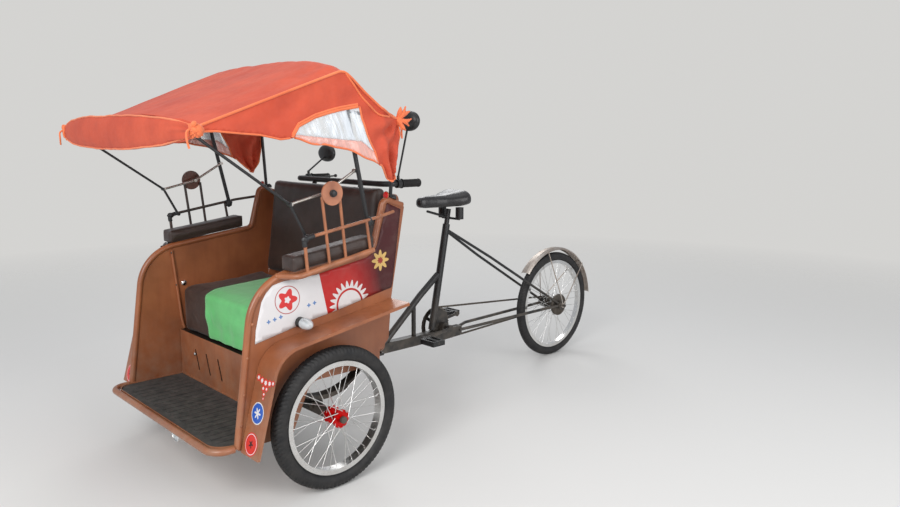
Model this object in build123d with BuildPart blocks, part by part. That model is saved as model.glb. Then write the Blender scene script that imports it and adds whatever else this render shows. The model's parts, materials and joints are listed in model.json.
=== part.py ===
from build123d import *
import math
import os

# Cycle rickshaw: a two-wheeled passenger cabin in front, pushed and steered
# from a saddle behind it, over one rear wheel.
# Millimetres, +Z up, the cabin's open front faces -Y, the vehicle's left is +X.
# Every lengthwise place below is measured rearwards from the front axle.

# Wheels
FRONT_TYRE_R = 263.0
FRONT_TYRE_W = 56.0
FRONT_TYRE_WALL = 54.0
FRONT_RIM_R = FRONT_TYRE_R - FRONT_TYRE_WALL
FRONT_TRACK_HALF = 537.0
REAR_TYRE_R = 304.0
REAR_TYRE_W = 46.0
REAR_TYRE_WALL = 46.0
REAR_RIM_R = REAR_TYRE_R - REAR_TYRE_WALL
WHEELBASE = 1918.0
RIM_DEPTH = 18.0
RIM_WALL = 3.0
RIM_WELL = 6.0
TYRE_SEAT_GAP = 0.3
SPOKE_R = 1.4
SPOKE_COUNT = 36
SPOKE_LEAN = 60.0
SPOKE_SEAT_OUTER = 2.1
SPOKE_SEAT_INNER = 0.4

# Axles and hubs
AXLE_R = 8.0
AXLE_CLEARANCE = 0.3
AXLE_BEAM = 30.0
AXLE_CAP_R = 13.0
AXLE_CAP_LEN = 12.0
HUB_BARREL_R = 15.0
HUB_FLANGE_R = 34.0
HUB_FLANGE_T = 4.0
HUB_FLANGE_X = 28.0
FRONT_HUB_HALF = 40.0
REAR_HUB_HALF = 65.0
DRUM_R = 62.0
DRUM_W = 16.0
DRUM_GAP = 8.0

# Cabin
PANEL_X = 462.0
PANEL_T = 12.0
EDGE_TUBE_R = 12.5
FLOOR_Z = 222.0
FLOOR_T = 8.0
FLOOR_FRONT = -425.0
FLOOR_CORNER_R = 70.0
FLOOR_RIM_T = 3.0
FLOOR_RIM_H = 10.0
MAT_T = 5.0
MAT_RIB_H = 2.0
MAT_RIB_PITCH = 40.0
SEAT_FRONT_Y = -135.0
SEAT_FRONT_T = 10.0
SLOT_LEN = 95.0
SLOT_W = 13.0
SLOT_RISE = 98.0
DECK_Z = 415.0
DECK_T = 10.0
BACK_FOOT_Y = 296.0
BACK_FOOT_Z = 425.0
BACK_TOP_Y = 380.0
BACK_TOP_Z = 1045.0
BACK_T = 12.0
BACK_HALF_W = 448.0
# Side panel, as points of y behind the front axle and z, with the bend at each.
FRONT_POST_FOOT = (-352.0, 222.0)
EDGE_TUBE = [
    FRONT_POST_FOOT,
    (-274.0, 781.0),
    (235.0, 848.0),
    (286.0, 1034.0),
    (378.0, 1004.0),
]
EDGE_BENDS = [180.0, 30.0, 25.0]
PANEL_OUTLINE = [
    *EDGE_TUBE[:-1],
    (386.0, 1001.0),
    (318.0, 650.0),
    (302.0, 484.0),
    (257.0, 442.0),
    (257.0, 392.0),
    (-60.0, 392.0),
    (-140.0, 214.0),
    (-352.0, 214.0),
]
PANEL_BENDS = [3.0, *EDGE_BENDS, 8.0, 60.0, 20.0, 8.0, 8.0, 60.0, 20.0, 3.0]
CUSHION_TOP = 615.0
CUSHION_HALF_W = 418.0
BACKREST_T = 62.0
BACKREST_HALF_W = 400.0
BACKREST_TOP = 1076.0
CLOTH_T = 3.0
SOFT_GAP = 0.4
PAD_W = 80.0
PAD_T = 52.0

# Soft parts on the seat
CUSHION_FRONT = -134.0
CUSHION_REAR = 280.0
CUSHION_R = 20.0
CLOTH_X = (-215.0, 405.0)
CLOTH_DROP = 438.0
CLOTH_REAR = 190.0
PAD_X = 489.0
PAD_Y = (-158.0, 192.0)

# Guard rails and hood
# The arm tube leaves the panel's edge at the front and runs beside the arm pad.
ARM_ROOT_Y = -182.0
ARM_FRONT = (-140.0, 796.0)
ARM_REAR = (178.0, 857.0)
ARM_BEND = 30.0
ARM_TUBE_R = 10.0
RAIL_FRONT = (-116.0, 924.0)
RAIL_KNEE = (200.0, 975.5)
RAIL_END = (511.0, 296.0, 988.0)
RAIL_BEND = 25.0
POST_CLAMP = (163.0, 960.0)
# y of each rod at the arm tube, then y and z of its top
RODS = [
    (-106.0, RAIL_FRONT),
    (-15.0, (-42.0, 1062.0)),
    (54.0, (31.0, 1062.0)),
    (164.0, (147.0, 966.0)),
]
DISC_CENTRE = (-6.0, 1073.0)
KNUCKLE = (-150.0, 1040.0)
STRUT_HEAD = (-466.0, 1262.0)
POST_PIN = (121.0, 1146.0)
STRUT_X = 509.0
STRUT_R = 5.0
ROOF_FALL = 37.0
REAR_BOW_INSET = 6.0
PIN_R = 4.0
# y, half width, side height, crown height, hem height
HOOD_STATIONS = [
    (-476.6, 545.0, 1292.0, 1338.0, 1276.0),
    (50.0, 545.0, 1487.0, 1545.0, 1221.0),
    (140.0, 545.0, 1420.0, 1484.0, 1202.0),
    (228.0, 545.0, 1358.0, 1426.0, 1185.0),
    (282.0, 520.0, 1342.0, 1408.0, 1100.0),
    (328.0, 505.0, 1327.0, 1395.0, 1182.0),
]
WINDOW = [
    (-147.0, 1290.0),
    (-65.0, 1330.0),
    (28.0, 1357.0),
    (117.0, 1376.0),
    (178.0, 1214.0),
    (-125.0, 1268.0),
]
WINDOW_T = 1.5
VALANCE_Y = -500.0
VALANCE_Z = 1280.0
VALANCE_HALF_L = 562.0
RAIL_X = 540.0
RAIL_R = 6.0
ROD_R = 5.5
DISC_R = 42.0
DISC_T = 7.0
POST_R = 8.0
BOW_R = 7.0
HOOD_T = 5.0
VALANCE_H = 112.0
VALANCE_T = 46.0

# Mudguards
FENDER_X = (470.15, 580.0)
FENDER_T = 3.0
FENDER_LIP = 12.0
FENDER_LINE = [(-345.0, 209.0), (-252.0, 556.0), (315.0, 645.0)]
FENDER_BEND = 120.0
REAR_FENDER_T = 2.0
# The crown's outline: half width, fall below the top
FENDER_CROWN = [(30.0, 12.0), (24.0, 4.5), (11.0, 0.0)]
REAR_FENDER_ARC = (5.0, 140.0)
REAR_STAY_ANGLES = (42.0, 105.0)
FENDER_STAY_R = 3.0
FENDER_KNEE = 45.0
FENDER_EYE_T = 8.0

# Push bar, mirrors and lamps
BAR_Y = 405.0
BAR_Z = 1078.0
BAR_HALF_W = 330.0
BAR_END_Y = 578.0
BAR_R = 12.0
GRIP_R = 16.0
GRIP_LEN = 92.0
BRACKET_X = 170.0
MIRROR_STEM_R = 4.0
MIRROR_FOOT_H = 14.0
# side x of the foot, y of the foot, then the mirror's centre
MIRRORS = [
    (BAR_HALF_W, 472.0, (360.0, 511.0, 1331.0)),
    (-BAR_HALF_W, 472.0, (-352.0, 600.0, 1190.0)),
]
MIRROR_W = 118.0
MIRROR_H = 78.0
MIRROR_T = 16.0
LAMP_AT = (60.0, -392.0, 166.0)
LAMP_R = 32.0
LAMP_LEN = 56.0
SIGNAL_AT = (-100.0, 620.0)
SIGNAL_R = 19.0
SIGNAL_BASE = 22.0
SIGNAL_LENS = 26.0

# Fits
TOUCH = 0.3

# Underframe and suspension
RAIL_W = 64.0
CROSS_W = 30.0
RAIL_H = 22.0
SPRING_X = 380.0
SPRING_SEAT_RISE = 0.5
SPRING_W = 44.0
LEAF_T = 6.0
LEAF_COUNT = 3
LEAF_STEP = 0.13
EYE_R = 11.0
HANGER_T = 6.0
PAD_BLOCK = 60.0
SPRING_FRONT = (-100.0, 352.0)
SPRING_LOW = (0.0, 306.0)
SPRING_REAR = (227.0, 376.0)

# Steering
KINGPIN_Y = 100.0
KINGPIN_R = 14.0
KINGPIN_CLEARANCE = 0.3
SLEEVE_R = 25.0
SLEEVE_LOW = 246.0
SLEEVE_HIGH = 318.0

# Rear frame
BEAM_W = 40.0
BEAM_H = 48.0
BEAM_Z = 282.0
BEAM_END = 1150.0
TUBE_R = 16.0
STAY_R = 8.0
STAY_X = 72.0
STAY_END_GAP = 18.0
BB_Y = 1022.0
BB_Z = 322.0
BB_R = 23.0
BB_HALF = 34.0
SEAT_TUBE_FOOT = (958.0, 316.0)
SEAT_TUBE_TOP_Z = 840.0
SADDLE_POST_TOP = (1072.0, 915.0)
SADDLE_NOSE_REACH = 204.0
SADDLE_TAIL_REACH = 76.0
SADDLE_NOSE = SADDLE_POST_TOP[0] - SADDLE_NOSE_REACH
SADDLE_BACK = SADDLE_POST_TOP[0] + SADDLE_TAIL_REACH
SADDLE_Z = 925.0
SADDLE_H = 62.0
SADDLE_W = 216.0
SADDLE_HIP = 95.0
SADDLE_CORNER = 25.0
SADDLE_TAIL_HALF = 60.0
NOSE_HALF_W = 26.0
NOSE_LEN = 30.0
COIL_INSET = 60.0
SADDLE_RAIL_INSET = 60.0
SADDLE_RAIL_FALL = 14.0
SEAT_POST_SUNK = 260.0
POST_TUBE_R = 12.5
BRACE_LINE = [(998.0, 590.0), (880.0, 500.0), (650.0, 300.0)]
BRACE_BENDS = [140.0]
STRUT_Y = 838.0
STRUT_TOP = 456.0
GUSSET = [(948.0, 300.0), (1060.0, 300.0), (1060.0, 392.0), (976.0, 420.0)]
GUSSET_T = 8.0
STAY_SPREAD = 46.0
STAY_RISE = 296.0
SEAT_STAY_HEAD = (1062.0, 806.0)
SEAT_STAY_BEND = (1330.0, 649.0)
DROPOUT_R = 26.0
DROPOUT_T = 7.0
REAR_AXLE_HALF = 98.0
AXLE_THREAD_LEN = 14.0
AXLE_THREAD_R = 7.0
COIL_X = 62.0
COIL_LEN = 58.0
COIL_R = 20.0

# Drive
CRANK_AXLE_R = 9.0
CRANK_X = 66.0
PEDAL_PIN_R = 6.0
PEDAL_GAP = 15.0
CHAIN_X = -42.0
CHAIN_W = 7.0
SPROCKET_T = 2.4
CHAIN_H = 8.0
CHAIN_PITCH = 12.7
RING_TEETH = 44
SPROCKET_TEETH = 18
CRANK_LEN = 175.0
CRANK_ANGLE = 188.0
PEDAL_W = 92.0
PEDAL_L = 74.0
PEDAL_T = 24.0

RING_R = CHAIN_PITCH / (2 * math.sin(math.pi / RING_TEETH))
SPROCKET_R = CHAIN_PITCH / (2 * math.sin(math.pi / SPROCKET_TEETH))
SPROCKET_BODY_R = SPROCKET_R - CHAIN_H / 2 - TOUCH
REAR_FENDER_R = REAR_TYRE_R + 30.0

# The origin lies on the ground in the middle of the overall length.
VISOR_FRONT = VALANCE_Y - VALANCE_T / 2
TAIL = WHEELBASE + REAR_FENDER_R * math.cos(math.radians(REAR_FENDER_ARC[0]))
FRONT_AXLE_Y = -round((VISOR_FRONT + TAIL) / 2)

os.makedirs("parts", exist_ok=True)

SIDE = Plane(origin=(0, FRONT_AXLE_Y, 0), x_dir=(0, 1, 0), z_dir=(1, 0, 0))
TOP = Plane(origin=(0, FRONT_AXLE_Y, 0))


def at(x, y, z):
    """The point x to the left, y behind the front axle and z above the ground."""
    return Vector(x, y + FRONT_AXLE_Y, z)


def bar(start, end, radius, mode=Mode.ADD):
    """A straight round bar between two points, joined to the part being built."""
    run = end - start
    with BuildSketch(Plane(origin=start, z_dir=run)) as section:
        Circle(radius)
    extrude(section.sketch, amount=run.length, mode=mode)


def tube(points, bends, radius, mode=Mode.ADD):
    """A bent round tube through the points, with one bend radius for each inner point."""
    with BuildLine() as path:
        FilletPolyline(*points, radius=bends)
    with BuildSketch(path.line ^ 0) as section:
        Circle(radius)
    sweep(section.sketch, path=path.line, mode=mode)


def save(piece, name):
    """Labels a finished piece and writes it."""
    piece.part.label = name
    export_step(piece.part, "parts/" + name + ".step")


# Wheels: centre, tyre, rim and hub sizes, and the hub's extras, one row each.
# name, x, y from the front axle, tyre radius and width, rim radius, hub half length, sprocket radius
WHEELS = [
    ("front_left", FRONT_TRACK_HALF, 0.0, FRONT_TYRE_R, FRONT_TYRE_W, FRONT_RIM_R, FRONT_HUB_HALF, 0),
    ("front_right", -FRONT_TRACK_HALF, 0.0, FRONT_TYRE_R, FRONT_TYRE_W, FRONT_RIM_R, FRONT_HUB_HALF, 0),
    ("rear", 0.0, WHEELBASE, REAR_TYRE_R, REAR_TYRE_W, REAR_RIM_R, REAR_HUB_HALF, SPROCKET_BODY_R),
]


def build_wheel(name, x, y, tyre_r, tyre_w, rim_r, hub_half, sprocket_r):
    """Tyre, laced rim and hub of one wheel, standing on the ground."""
    spin = Axis(at(x, y, tyre_r), (1, 0, 0))
    half_section = Plane(origin=at(x, y, tyre_r), x_dir=(1, 0, 0), z_dir=(0, -1, 0))
    rim_half = tyre_w / 2 - 9.0
    bead_half = rim_half - RIM_WALL - TYRE_SEAT_GAP
    bead_r = rim_r - RIM_WELL + TYRE_SEAT_GAP

    with BuildPart() as tyre:
        with BuildSketch(half_section) as tyre_section:
            with BuildLine():
                crown = ThreePointArc((-tyre_w / 2, rim_r + 22), (0, tyre_r), (tyre_w / 2, rim_r + 22))
                right = Line(crown @ 1, (bead_half, rim_r + 2))
                foot = Line(right @ 1, (bead_half, bead_r))
                base = Line(foot @ 1, (-bead_half, bead_r))
                heel = Line(base @ 1, (-bead_half, rim_r + 2))
                Line(heel @ 1, crown @ 0)
            make_face()
        revolve(axis=spin)
    save(tyre, name + "_tyre")

    with BuildPart() as rim:
        with BuildSketch(half_section):
            with Locations((0, rim_r - RIM_DEPTH / 2)):
                Rectangle(2 * rim_half, RIM_DEPTH)
            with Locations((0, rim_r)):
                Rectangle(2 * (rim_half - RIM_WALL), 2 * RIM_WELL, mode=Mode.SUBTRACT)
        revolve(axis=spin)
        hole_r = HUB_FLANGE_R - 5.0
        bed_r = rim_r - RIM_DEPTH + 1.0
        for index in range(SPOKE_COUNT):
            side = 1 if index % 2 == 0 else -1
            lean = 1 if index % 4 < 2 else -1
            hub_angle = math.radians(index * 360.0 / SPOKE_COUNT)
            rim_angle = hub_angle + lean * math.radians(SPOKE_LEAN)
            seat = SPOKE_SEAT_OUTER if lean > 0 else SPOKE_SEAT_INNER
            skin = HUB_FLANGE_T / 2 + SPOKE_R + seat
            hub_x = x + side * (HUB_FLANGE_X + lean * skin)
            rim_x = x + side * 2.0
            foot = at(hub_x, y + hole_r * math.cos(hub_angle), tyre_r + hole_r * math.sin(hub_angle))
            head = at(rim_x, y + bed_r * math.cos(rim_angle), tyre_r + bed_r * math.sin(rim_angle))
            bar(foot, head, SPOKE_R)
    save(rim, name + "_rim")

    with BuildPart() as hub:
        with BuildSketch(half_section):
            with Locations((0, HUB_BARREL_R / 2)):
                Rectangle(2 * hub_half, HUB_BARREL_R)
            with Locations((HUB_FLANGE_X, HUB_FLANGE_R / 2), (-HUB_FLANGE_X, HUB_FLANGE_R / 2)):
                Rectangle(HUB_FLANGE_T, HUB_FLANGE_R)
            if sprocket_r:
                with Locations((CHAIN_X, sprocket_r / 2)):
                    Rectangle(SPROCKET_T, sprocket_r)
            Rectangle(2 * hub_half, 2 * (AXLE_R + AXLE_CLEARANCE), mode=Mode.SUBTRACT)
        revolve(axis=spin)
    save(hub, name + "_hub")


for row in WHEELS:
    build_wheel(*row)

# The brake drum turns with the rear hub.
with BuildPart() as rear_drum:
    with BuildSketch(SIDE.offset(HUB_FLANGE_X + HUB_FLANGE_T / 2 + DRUM_GAP)):
        with Locations((WHEELBASE, REAR_TYRE_R)):
            Circle(DRUM_R)
            Circle(HUB_BARREL_R + TYRE_SEAT_GAP, mode=Mode.SUBTRACT)
    extrude(amount=DRUM_W)
    fillet(rear_drum.edges().filter_by(GeomType.CIRCLE).sort_by(SortBy.RADIUS)[-2:], 3)
save(rear_drum, "rear_drum")

# Leaf springs: a stack of ever shorter leaves over the axle, with an eye at each end.
def leaf_outline(low_share, cut, drop):
    """One leaf seen from the side, cut short at both ends and dropped below the main leaf."""
    start, middle, end = (spring_point(share) for share in (cut, low_share, 1 - cut))
    with BuildLine() as outline:
        upper = ThreePointArc(*((y, z - drop) for y, z in (start, middle, end)))
        lower = ThreePointArc(*((y, z - drop - LEAF_T) for y, z in (start, middle, end)))
        Line(upper @ 0, lower @ 0)
        Line(upper @ 1, lower @ 1)
    return outline.line


def spring_point(share):
    """A point on the main leaf's arc, share 0 at the front eye and 1 at the rear eye."""
    with BuildLine() as arc:
        ThreePointArc(SPRING_FRONT, SPRING_LOW, SPRING_REAR)
    spot = arc.line @ share
    return (spot.X, spot.Y)


with BuildPart() as leaf_springs:
    for side in (-1, 1):
        with BuildSketch(SIDE.offset(side * SPRING_X - SPRING_W / 2)):
            for leaf in range(LEAF_COUNT):
                add(leaf_outline(0.4, LEAF_STEP * leaf, leaf * LEAF_T))
                make_face()
            with Locations(SPRING_FRONT, SPRING_REAR):
                Circle(EYE_R)
        extrude(amount=SPRING_W)
save(leaf_springs, "leaf_springs")
SPRING_FOOT_Z = leaf_springs.part.bounding_box().min.Z

# Front axle: a square beam with spring pads, round stubs and cap nuts.
with BuildPart() as front_axle:
    beam_half = FRONT_TRACK_HALF - FRONT_HUB_HALF - 8
    with BuildSketch(SIDE.offset(-beam_half)):
        with Locations((0, FRONT_TYRE_R)):
            Rectangle(AXLE_BEAM, AXLE_BEAM)
    extrude(amount=2 * beam_half)
    with BuildSketch(TOP.offset(FRONT_TYRE_R)):
        with Locations((-SPRING_X, SPRING_LOW[0]), (SPRING_X, SPRING_LOW[0])):
            Rectangle(SPRING_W + 12, PAD_BLOCK)
    extrude(amount=SPRING_FOOT_Z + SPRING_SEAT_RISE - FRONT_TYRE_R)
    stub_half = FRONT_TRACK_HALF + FRONT_HUB_HALF + 1
    bar(at(-stub_half - 2, 0, FRONT_TYRE_R), at(stub_half + 2, 0, FRONT_TYRE_R), AXLE_R)
    for side in (-1, 1):
        cap_start = at(side * stub_half, 0, FRONT_TYRE_R)
        cap_end = at(side * (stub_half + AXLE_CAP_LEN), 0, FRONT_TYRE_R)
        bar(cap_start, cap_end, AXLE_CAP_R)
    cap_rims = front_axle.edges().filter_by(GeomType.CIRCLE).sort_by(Axis.X)
    fillet([cap_rims[0], cap_rims[-1]], 4)
save(front_axle, "front_axle")

# Underframe: side rails under the seat deck, cross members, spring hangers, kingpin.
with BuildPart() as underframe:
    rail_low = DECK_Z - RAIL_H
    rail_front = SEAT_FRONT_Y + SEAT_FRONT_T + 1
    rail_rear = BACK_FOOT_Y - BACK_T - 1
    with BuildSketch(TOP.offset(rail_low)):
        with Locations((-SPRING_X, (rail_front + rail_rear) / 2), (SPRING_X, (rail_front + rail_rear) / 2)):
            Rectangle(RAIL_W, rail_rear - rail_front)
        with Locations((0, KINGPIN_Y)):
            Rectangle(2 * SPRING_X, 90)
        with Locations((0, rail_front + CROSS_W / 2), (0, rail_rear - CROSS_W / 2)):
            Rectangle(2 * SPRING_X, CROSS_W)
    extrude(amount=RAIL_H)
    bar(at(0, KINGPIN_Y, SLEEVE_HIGH + 1), at(0, KINGPIN_Y, rail_low + 2), SLEEVE_R)
    bar(at(0, KINGPIN_Y, SLEEVE_LOW - 22), at(0, KINGPIN_Y, rail_low + 2), KINGPIN_R)
    bar(at(0, KINGPIN_Y, SLEEVE_LOW - 17), at(0, KINGPIN_Y, SLEEVE_LOW - 1), KINGPIN_R + 9)
    for side in (-1, 1):
        for eye_y, eye_z in (SPRING_FRONT, SPRING_REAR):
            for ear in (-1, 1):
                ear_x = side * SPRING_X + ear * (SPRING_W / 2 + TOUCH + HANGER_T / 2)
                with BuildSketch(SIDE.offset(ear_x - HANGER_T / 2)):
                    with Locations((eye_y, (eye_z + rail_low) / 2)):
                        Rectangle(2 * EYE_R, rail_low - eye_z + 2)
                    with Locations((eye_y, eye_z)):
                        Circle(EYE_R)
                extrude(amount=HANGER_T)
save(underframe, "underframe")

# Floor: a sheet tray with rounded front corners, turned up at its edge round the ribbed mat.
FLOOR_HALF_W = PANEL_X - EDGE_TUBE_R - TOUCH


def floor_outline(inset):
    """The floor seen from above, square at the seat and rounded in front."""
    with BuildSketch(mode=Mode.PRIVATE) as outline:
        with Locations((0, (FLOOR_FRONT + SEAT_FRONT_Y) / 2)):
            Rectangle(2 * (FLOOR_HALF_W - inset), SEAT_FRONT_Y - FLOOR_FRONT - 2 * inset)
        fillet(outline.vertices().group_by(Axis.Y)[0], FLOOR_CORNER_R - inset)
    return outline.sketch


with BuildPart() as floor_tray:
    with BuildSketch(TOP.offset(FLOOR_Z - FLOOR_T)):
        add(floor_outline(0))
    extrude(amount=FLOOR_T)
    with BuildSketch(TOP.offset(FLOOR_Z)):
        add(floor_outline(0))
        add(floor_outline(FLOOR_RIM_T), mode=Mode.SUBTRACT)
    extrude(amount=FLOOR_RIM_H)
    rim_front = FLOOR_FRONT - EDGE_TUBE_R - TOUCH
    rim_half = PANEL_X
    rim_back = FRONT_POST_FOOT[0] - EDGE_TUBE_R - TOUCH
    tube(
        (
            at(-rim_half, rim_back, FLOOR_Z),
            at(-rim_half, rim_front, FLOOR_Z),
            at(rim_half, rim_front, FLOOR_Z),
            at(rim_half, rim_back, FLOOR_Z),
        ),
        (FLOOR_CORNER_R - 12, FLOOR_CORNER_R - 12),
        EDGE_TUBE_R,
    )
save(floor_tray, "floor_tray")

with BuildPart() as floor_mat:
    with BuildSketch(TOP.offset(FLOOR_Z)):
        add(floor_outline(FLOOR_RIM_T + TOUCH))
    extrude(amount=MAT_T)
    rib_count = int(2 * (FLOOR_HALF_W - 30) / MAT_RIB_PITCH)
    with BuildSketch(TOP.offset(FLOOR_Z + MAT_T)):
        with Locations((0, (FLOOR_FRONT + SEAT_FRONT_Y) / 2)):
            with GridLocations(MAT_RIB_PITCH, 1, rib_count, 1):
                Rectangle(MAT_RIB_PITCH / 2, SEAT_FRONT_Y - FLOOR_FRONT - 2 * FLOOR_CORNER_R / 2)
    extrude(amount=MAT_RIB_H)
save(floor_mat, "floor_mat")

# Seat box: an upright front with two fans of slots, and the deck that carries the cushion.
SLOT_ROWS = [
    # middle x, lean in degrees
    (-292, 20),
    (-192, 20),
    (-88, 20),
    (88, -20),
    (192, -20),
    (292, -20),
]
with BuildPart() as seat_box:
    front_plane = Plane(
        origin=at(0, SEAT_FRONT_Y + SEAT_FRONT_T, 0), x_dir=(1, 0, 0), z_dir=(0, -1, 0)
    )
    with BuildSketch(front_plane):
        with Locations((0, (FLOOR_Z + DECK_Z) / 2)):
            Rectangle(2 * FLOOR_HALF_W, DECK_Z - FLOOR_Z)
        for slot_x, lean in SLOT_ROWS:
            with Locations(Location((slot_x, FLOOR_Z + SLOT_RISE, 0), (0, 0, 90 + lean))):
                SlotOverall(SLOT_LEN, SLOT_W, mode=Mode.SUBTRACT)
    extrude(amount=SEAT_FRONT_T)
    deck_front = SEAT_FRONT_Y
    deck_rear = BACK_FOOT_Y - 2.2
    with BuildSketch(TOP.offset(DECK_Z)):
        with Locations((0, (deck_front + deck_rear) / 2)):
            Rectangle(2 * FLOOR_HALF_W, deck_rear - deck_front)
    extrude(amount=DECK_T)
save(seat_box, "seat_box")

# Side panels: sheet inside a bent tube that runs up the front, over the arm rest and up the ear.
for name, side in (("left", 1), ("right", -1)):
    with BuildPart() as side_panel:
        with BuildSketch(SIDE.offset(side * PANEL_X - PANEL_T / 2)):
            with BuildLine():
                FilletPolyline(*PANEL_OUTLINE, radius=PANEL_BENDS, close=True)
            make_face()
        extrude(amount=PANEL_T)
        tube([at(side * PANEL_X, y, z) for y, z in EDGE_TUBE], EDGE_BENDS, EDGE_TUBE_R)
    save(side_panel, "side_panel_" + name)

# Back: the leaning board behind the back rest, its sill turned forward to the deck.
BACK_PLANE = Plane(
    origin=at(0, BACK_FOOT_Y, BACK_FOOT_Z),
    x_dir=(1, 0, 0),
    z_dir=(0, BACK_FOOT_Z - BACK_TOP_Z, BACK_TOP_Y - BACK_FOOT_Y),
)
BACK_LEN = math.hypot(BACK_TOP_Y - BACK_FOOT_Y, BACK_TOP_Z - BACK_FOOT_Z)
with BuildPart() as back_board:
    with BuildSketch(BACK_PLANE):
        with Locations((0, BACK_LEN / 2)):
            RectangleRounded(2 * BACK_HALF_W, BACK_LEN, 30)
    extrude(amount=BACK_T)
save(back_board, "back_board")


# Seat cushion, back rest, arm pads and the cloth laid over the seat.
with BuildPart() as seat_cushion:
    with BuildSketch(TOP.offset(DECK_Z + DECK_T + SOFT_GAP)):
        with Locations((0, (CUSHION_FRONT + CUSHION_REAR) / 2)):
            Rectangle(2 * CUSHION_HALF_W, CUSHION_REAR - CUSHION_FRONT)
    extrude(amount=CUSHION_TOP - DECK_Z - DECK_T - SOFT_GAP)
    fillet(seat_cushion.edges(), CUSHION_R)
save(seat_cushion, "seat_cushion")

with BuildPart() as seat_cloth:
    cloth_y = CUSHION_FRONT - SOFT_GAP
    cloth_z = CUSHION_TOP + SOFT_GAP
    with BuildSketch(SIDE.offset(CLOTH_X[0])):
        with BuildLine():
            Polyline(
                (CLOTH_REAR, cloth_z),
                (cloth_y, cloth_z),
                (cloth_y, CLOTH_DROP),
                (cloth_y - CLOTH_T, CLOTH_DROP),
                (cloth_y - CLOTH_T, cloth_z + CLOTH_T),
                (CLOTH_REAR, cloth_z + CLOTH_T),
                close=True,
            )
        make_face()
    extrude(amount=CLOTH_X[1] - CLOTH_X[0])
save(seat_cloth, "seat_cloth")

with BuildPart() as back_rest:
    rest_low = (CUSHION_TOP + 6 - BACK_FOOT_Z) * BACK_LEN / (BACK_TOP_Z - BACK_FOOT_Z)
    rest_high = (BACKREST_TOP - BACK_FOOT_Z) * BACK_LEN / (BACK_TOP_Z - BACK_FOOT_Z)
    with BuildSketch(BACK_PLANE.offset(BACK_T + SOFT_GAP)):
        with Locations((0, (rest_low + rest_high) / 2)):
            RectangleRounded(2 * BACKREST_HALF_W, rest_high - rest_low, 40)
    extrude(amount=BACKREST_T)
    fillet(back_rest.faces().sort_by(Axis.Y)[0].edges(), 18)
save(back_rest, "back_rest")

# The arm rest's edge tube runs straight between its two upper bends.
(EDGE_TOP_Y, EDGE_TOP_Z), (EDGE_REAR_Y, EDGE_REAR_Z) = EDGE_TUBE[1:3]
EDGE_SLOPE = (EDGE_REAR_Z - EDGE_TOP_Z) / (EDGE_REAR_Y - EDGE_TOP_Y)


def edge_z(y):
    """The height of the edge tube's axis under the arm pad."""
    return EDGE_TOP_Z + EDGE_SLOPE * (y - EDGE_TOP_Y)


with BuildPart() as arm_pads:
    pad_lift = EDGE_TUBE_R * math.hypot(1, EDGE_SLOPE) + TOUCH
    for side in (-1, 1):
        with BuildSketch(SIDE.offset(side * PAD_X - PAD_W / 2)):
            with BuildLine():
                base = Line(*((y, edge_z(y) + pad_lift) for y in PAD_Y))
                rear = Line(base @ 1, base @ 1 + Vector(0, PAD_T))
                lid = Line(rear @ 1, base @ 0 + Vector(0, PAD_T))
                Line(lid @ 1, base @ 0)
            make_face()
        extrude(amount=PAD_W)
    fillet(arm_pads.edges(), 10)
save(arm_pads, "arm_pads")

# Guard rails: an arm tube outside each pad, rods on it, a rail across the rods, and on the two
# tall rods a disc that carries the hood.
with BuildPart() as guard_rails:
    rail_slope = (RAIL_KNEE[1] - RAIL_FRONT[1]) / (RAIL_KNEE[0] - RAIL_FRONT[0])
    arm_slope = (ARM_REAR[1] - ARM_FRONT[1]) / (ARM_REAR[0] - ARM_FRONT[0])
    for side in (-1, 1):
        arm_line = [
            at(side * PANEL_X, ARM_ROOT_Y, edge_z(ARM_ROOT_Y)),
            at(side * RAIL_X, *ARM_FRONT),
            at(side * RAIL_X, *ARM_REAR),
        ]
        tube(arm_line, [ARM_BEND], ARM_TUBE_R)
        edge_path = [at(side * PANEL_X, y, z) for y, z in EDGE_TUBE]
        tube(edge_path, EDGE_BENDS, EDGE_TUBE_R + TOUCH, mode=Mode.SUBTRACT)
        rod_lines = []
        for foot_y, (head_y, head_z) in RODS:
            foot_z = ARM_FRONT[1] + arm_slope * (foot_y - ARM_FRONT[0])
            rod_lines.append((at(side * RAIL_X, foot_y, foot_z), at(side * RAIL_X, head_y, head_z)))
        rail_line = [
            *rod_lines[0],
            at(side * RAIL_X, *RAIL_KNEE),
            at(side * RAIL_END[0], *RAIL_END[1:]),
        ]
        tube(rail_line, [RAIL_BEND, RAIL_BEND], RAIL_R)
        for foot, head in rod_lines[1:]:
            bar(foot, head, ROD_R)
save(guard_rails, "guard_rails")

with BuildPart() as hood_discs:
    for side in (-1, 1):
        disc_centre = at(side * (RAIL_X + ROD_R + TOUCH), *DISC_CENTRE)
        bar(disc_centre, disc_centre + Vector(side * DISC_T, 0, 0), DISC_R)
save(hood_discs, "hood_discs")

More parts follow.
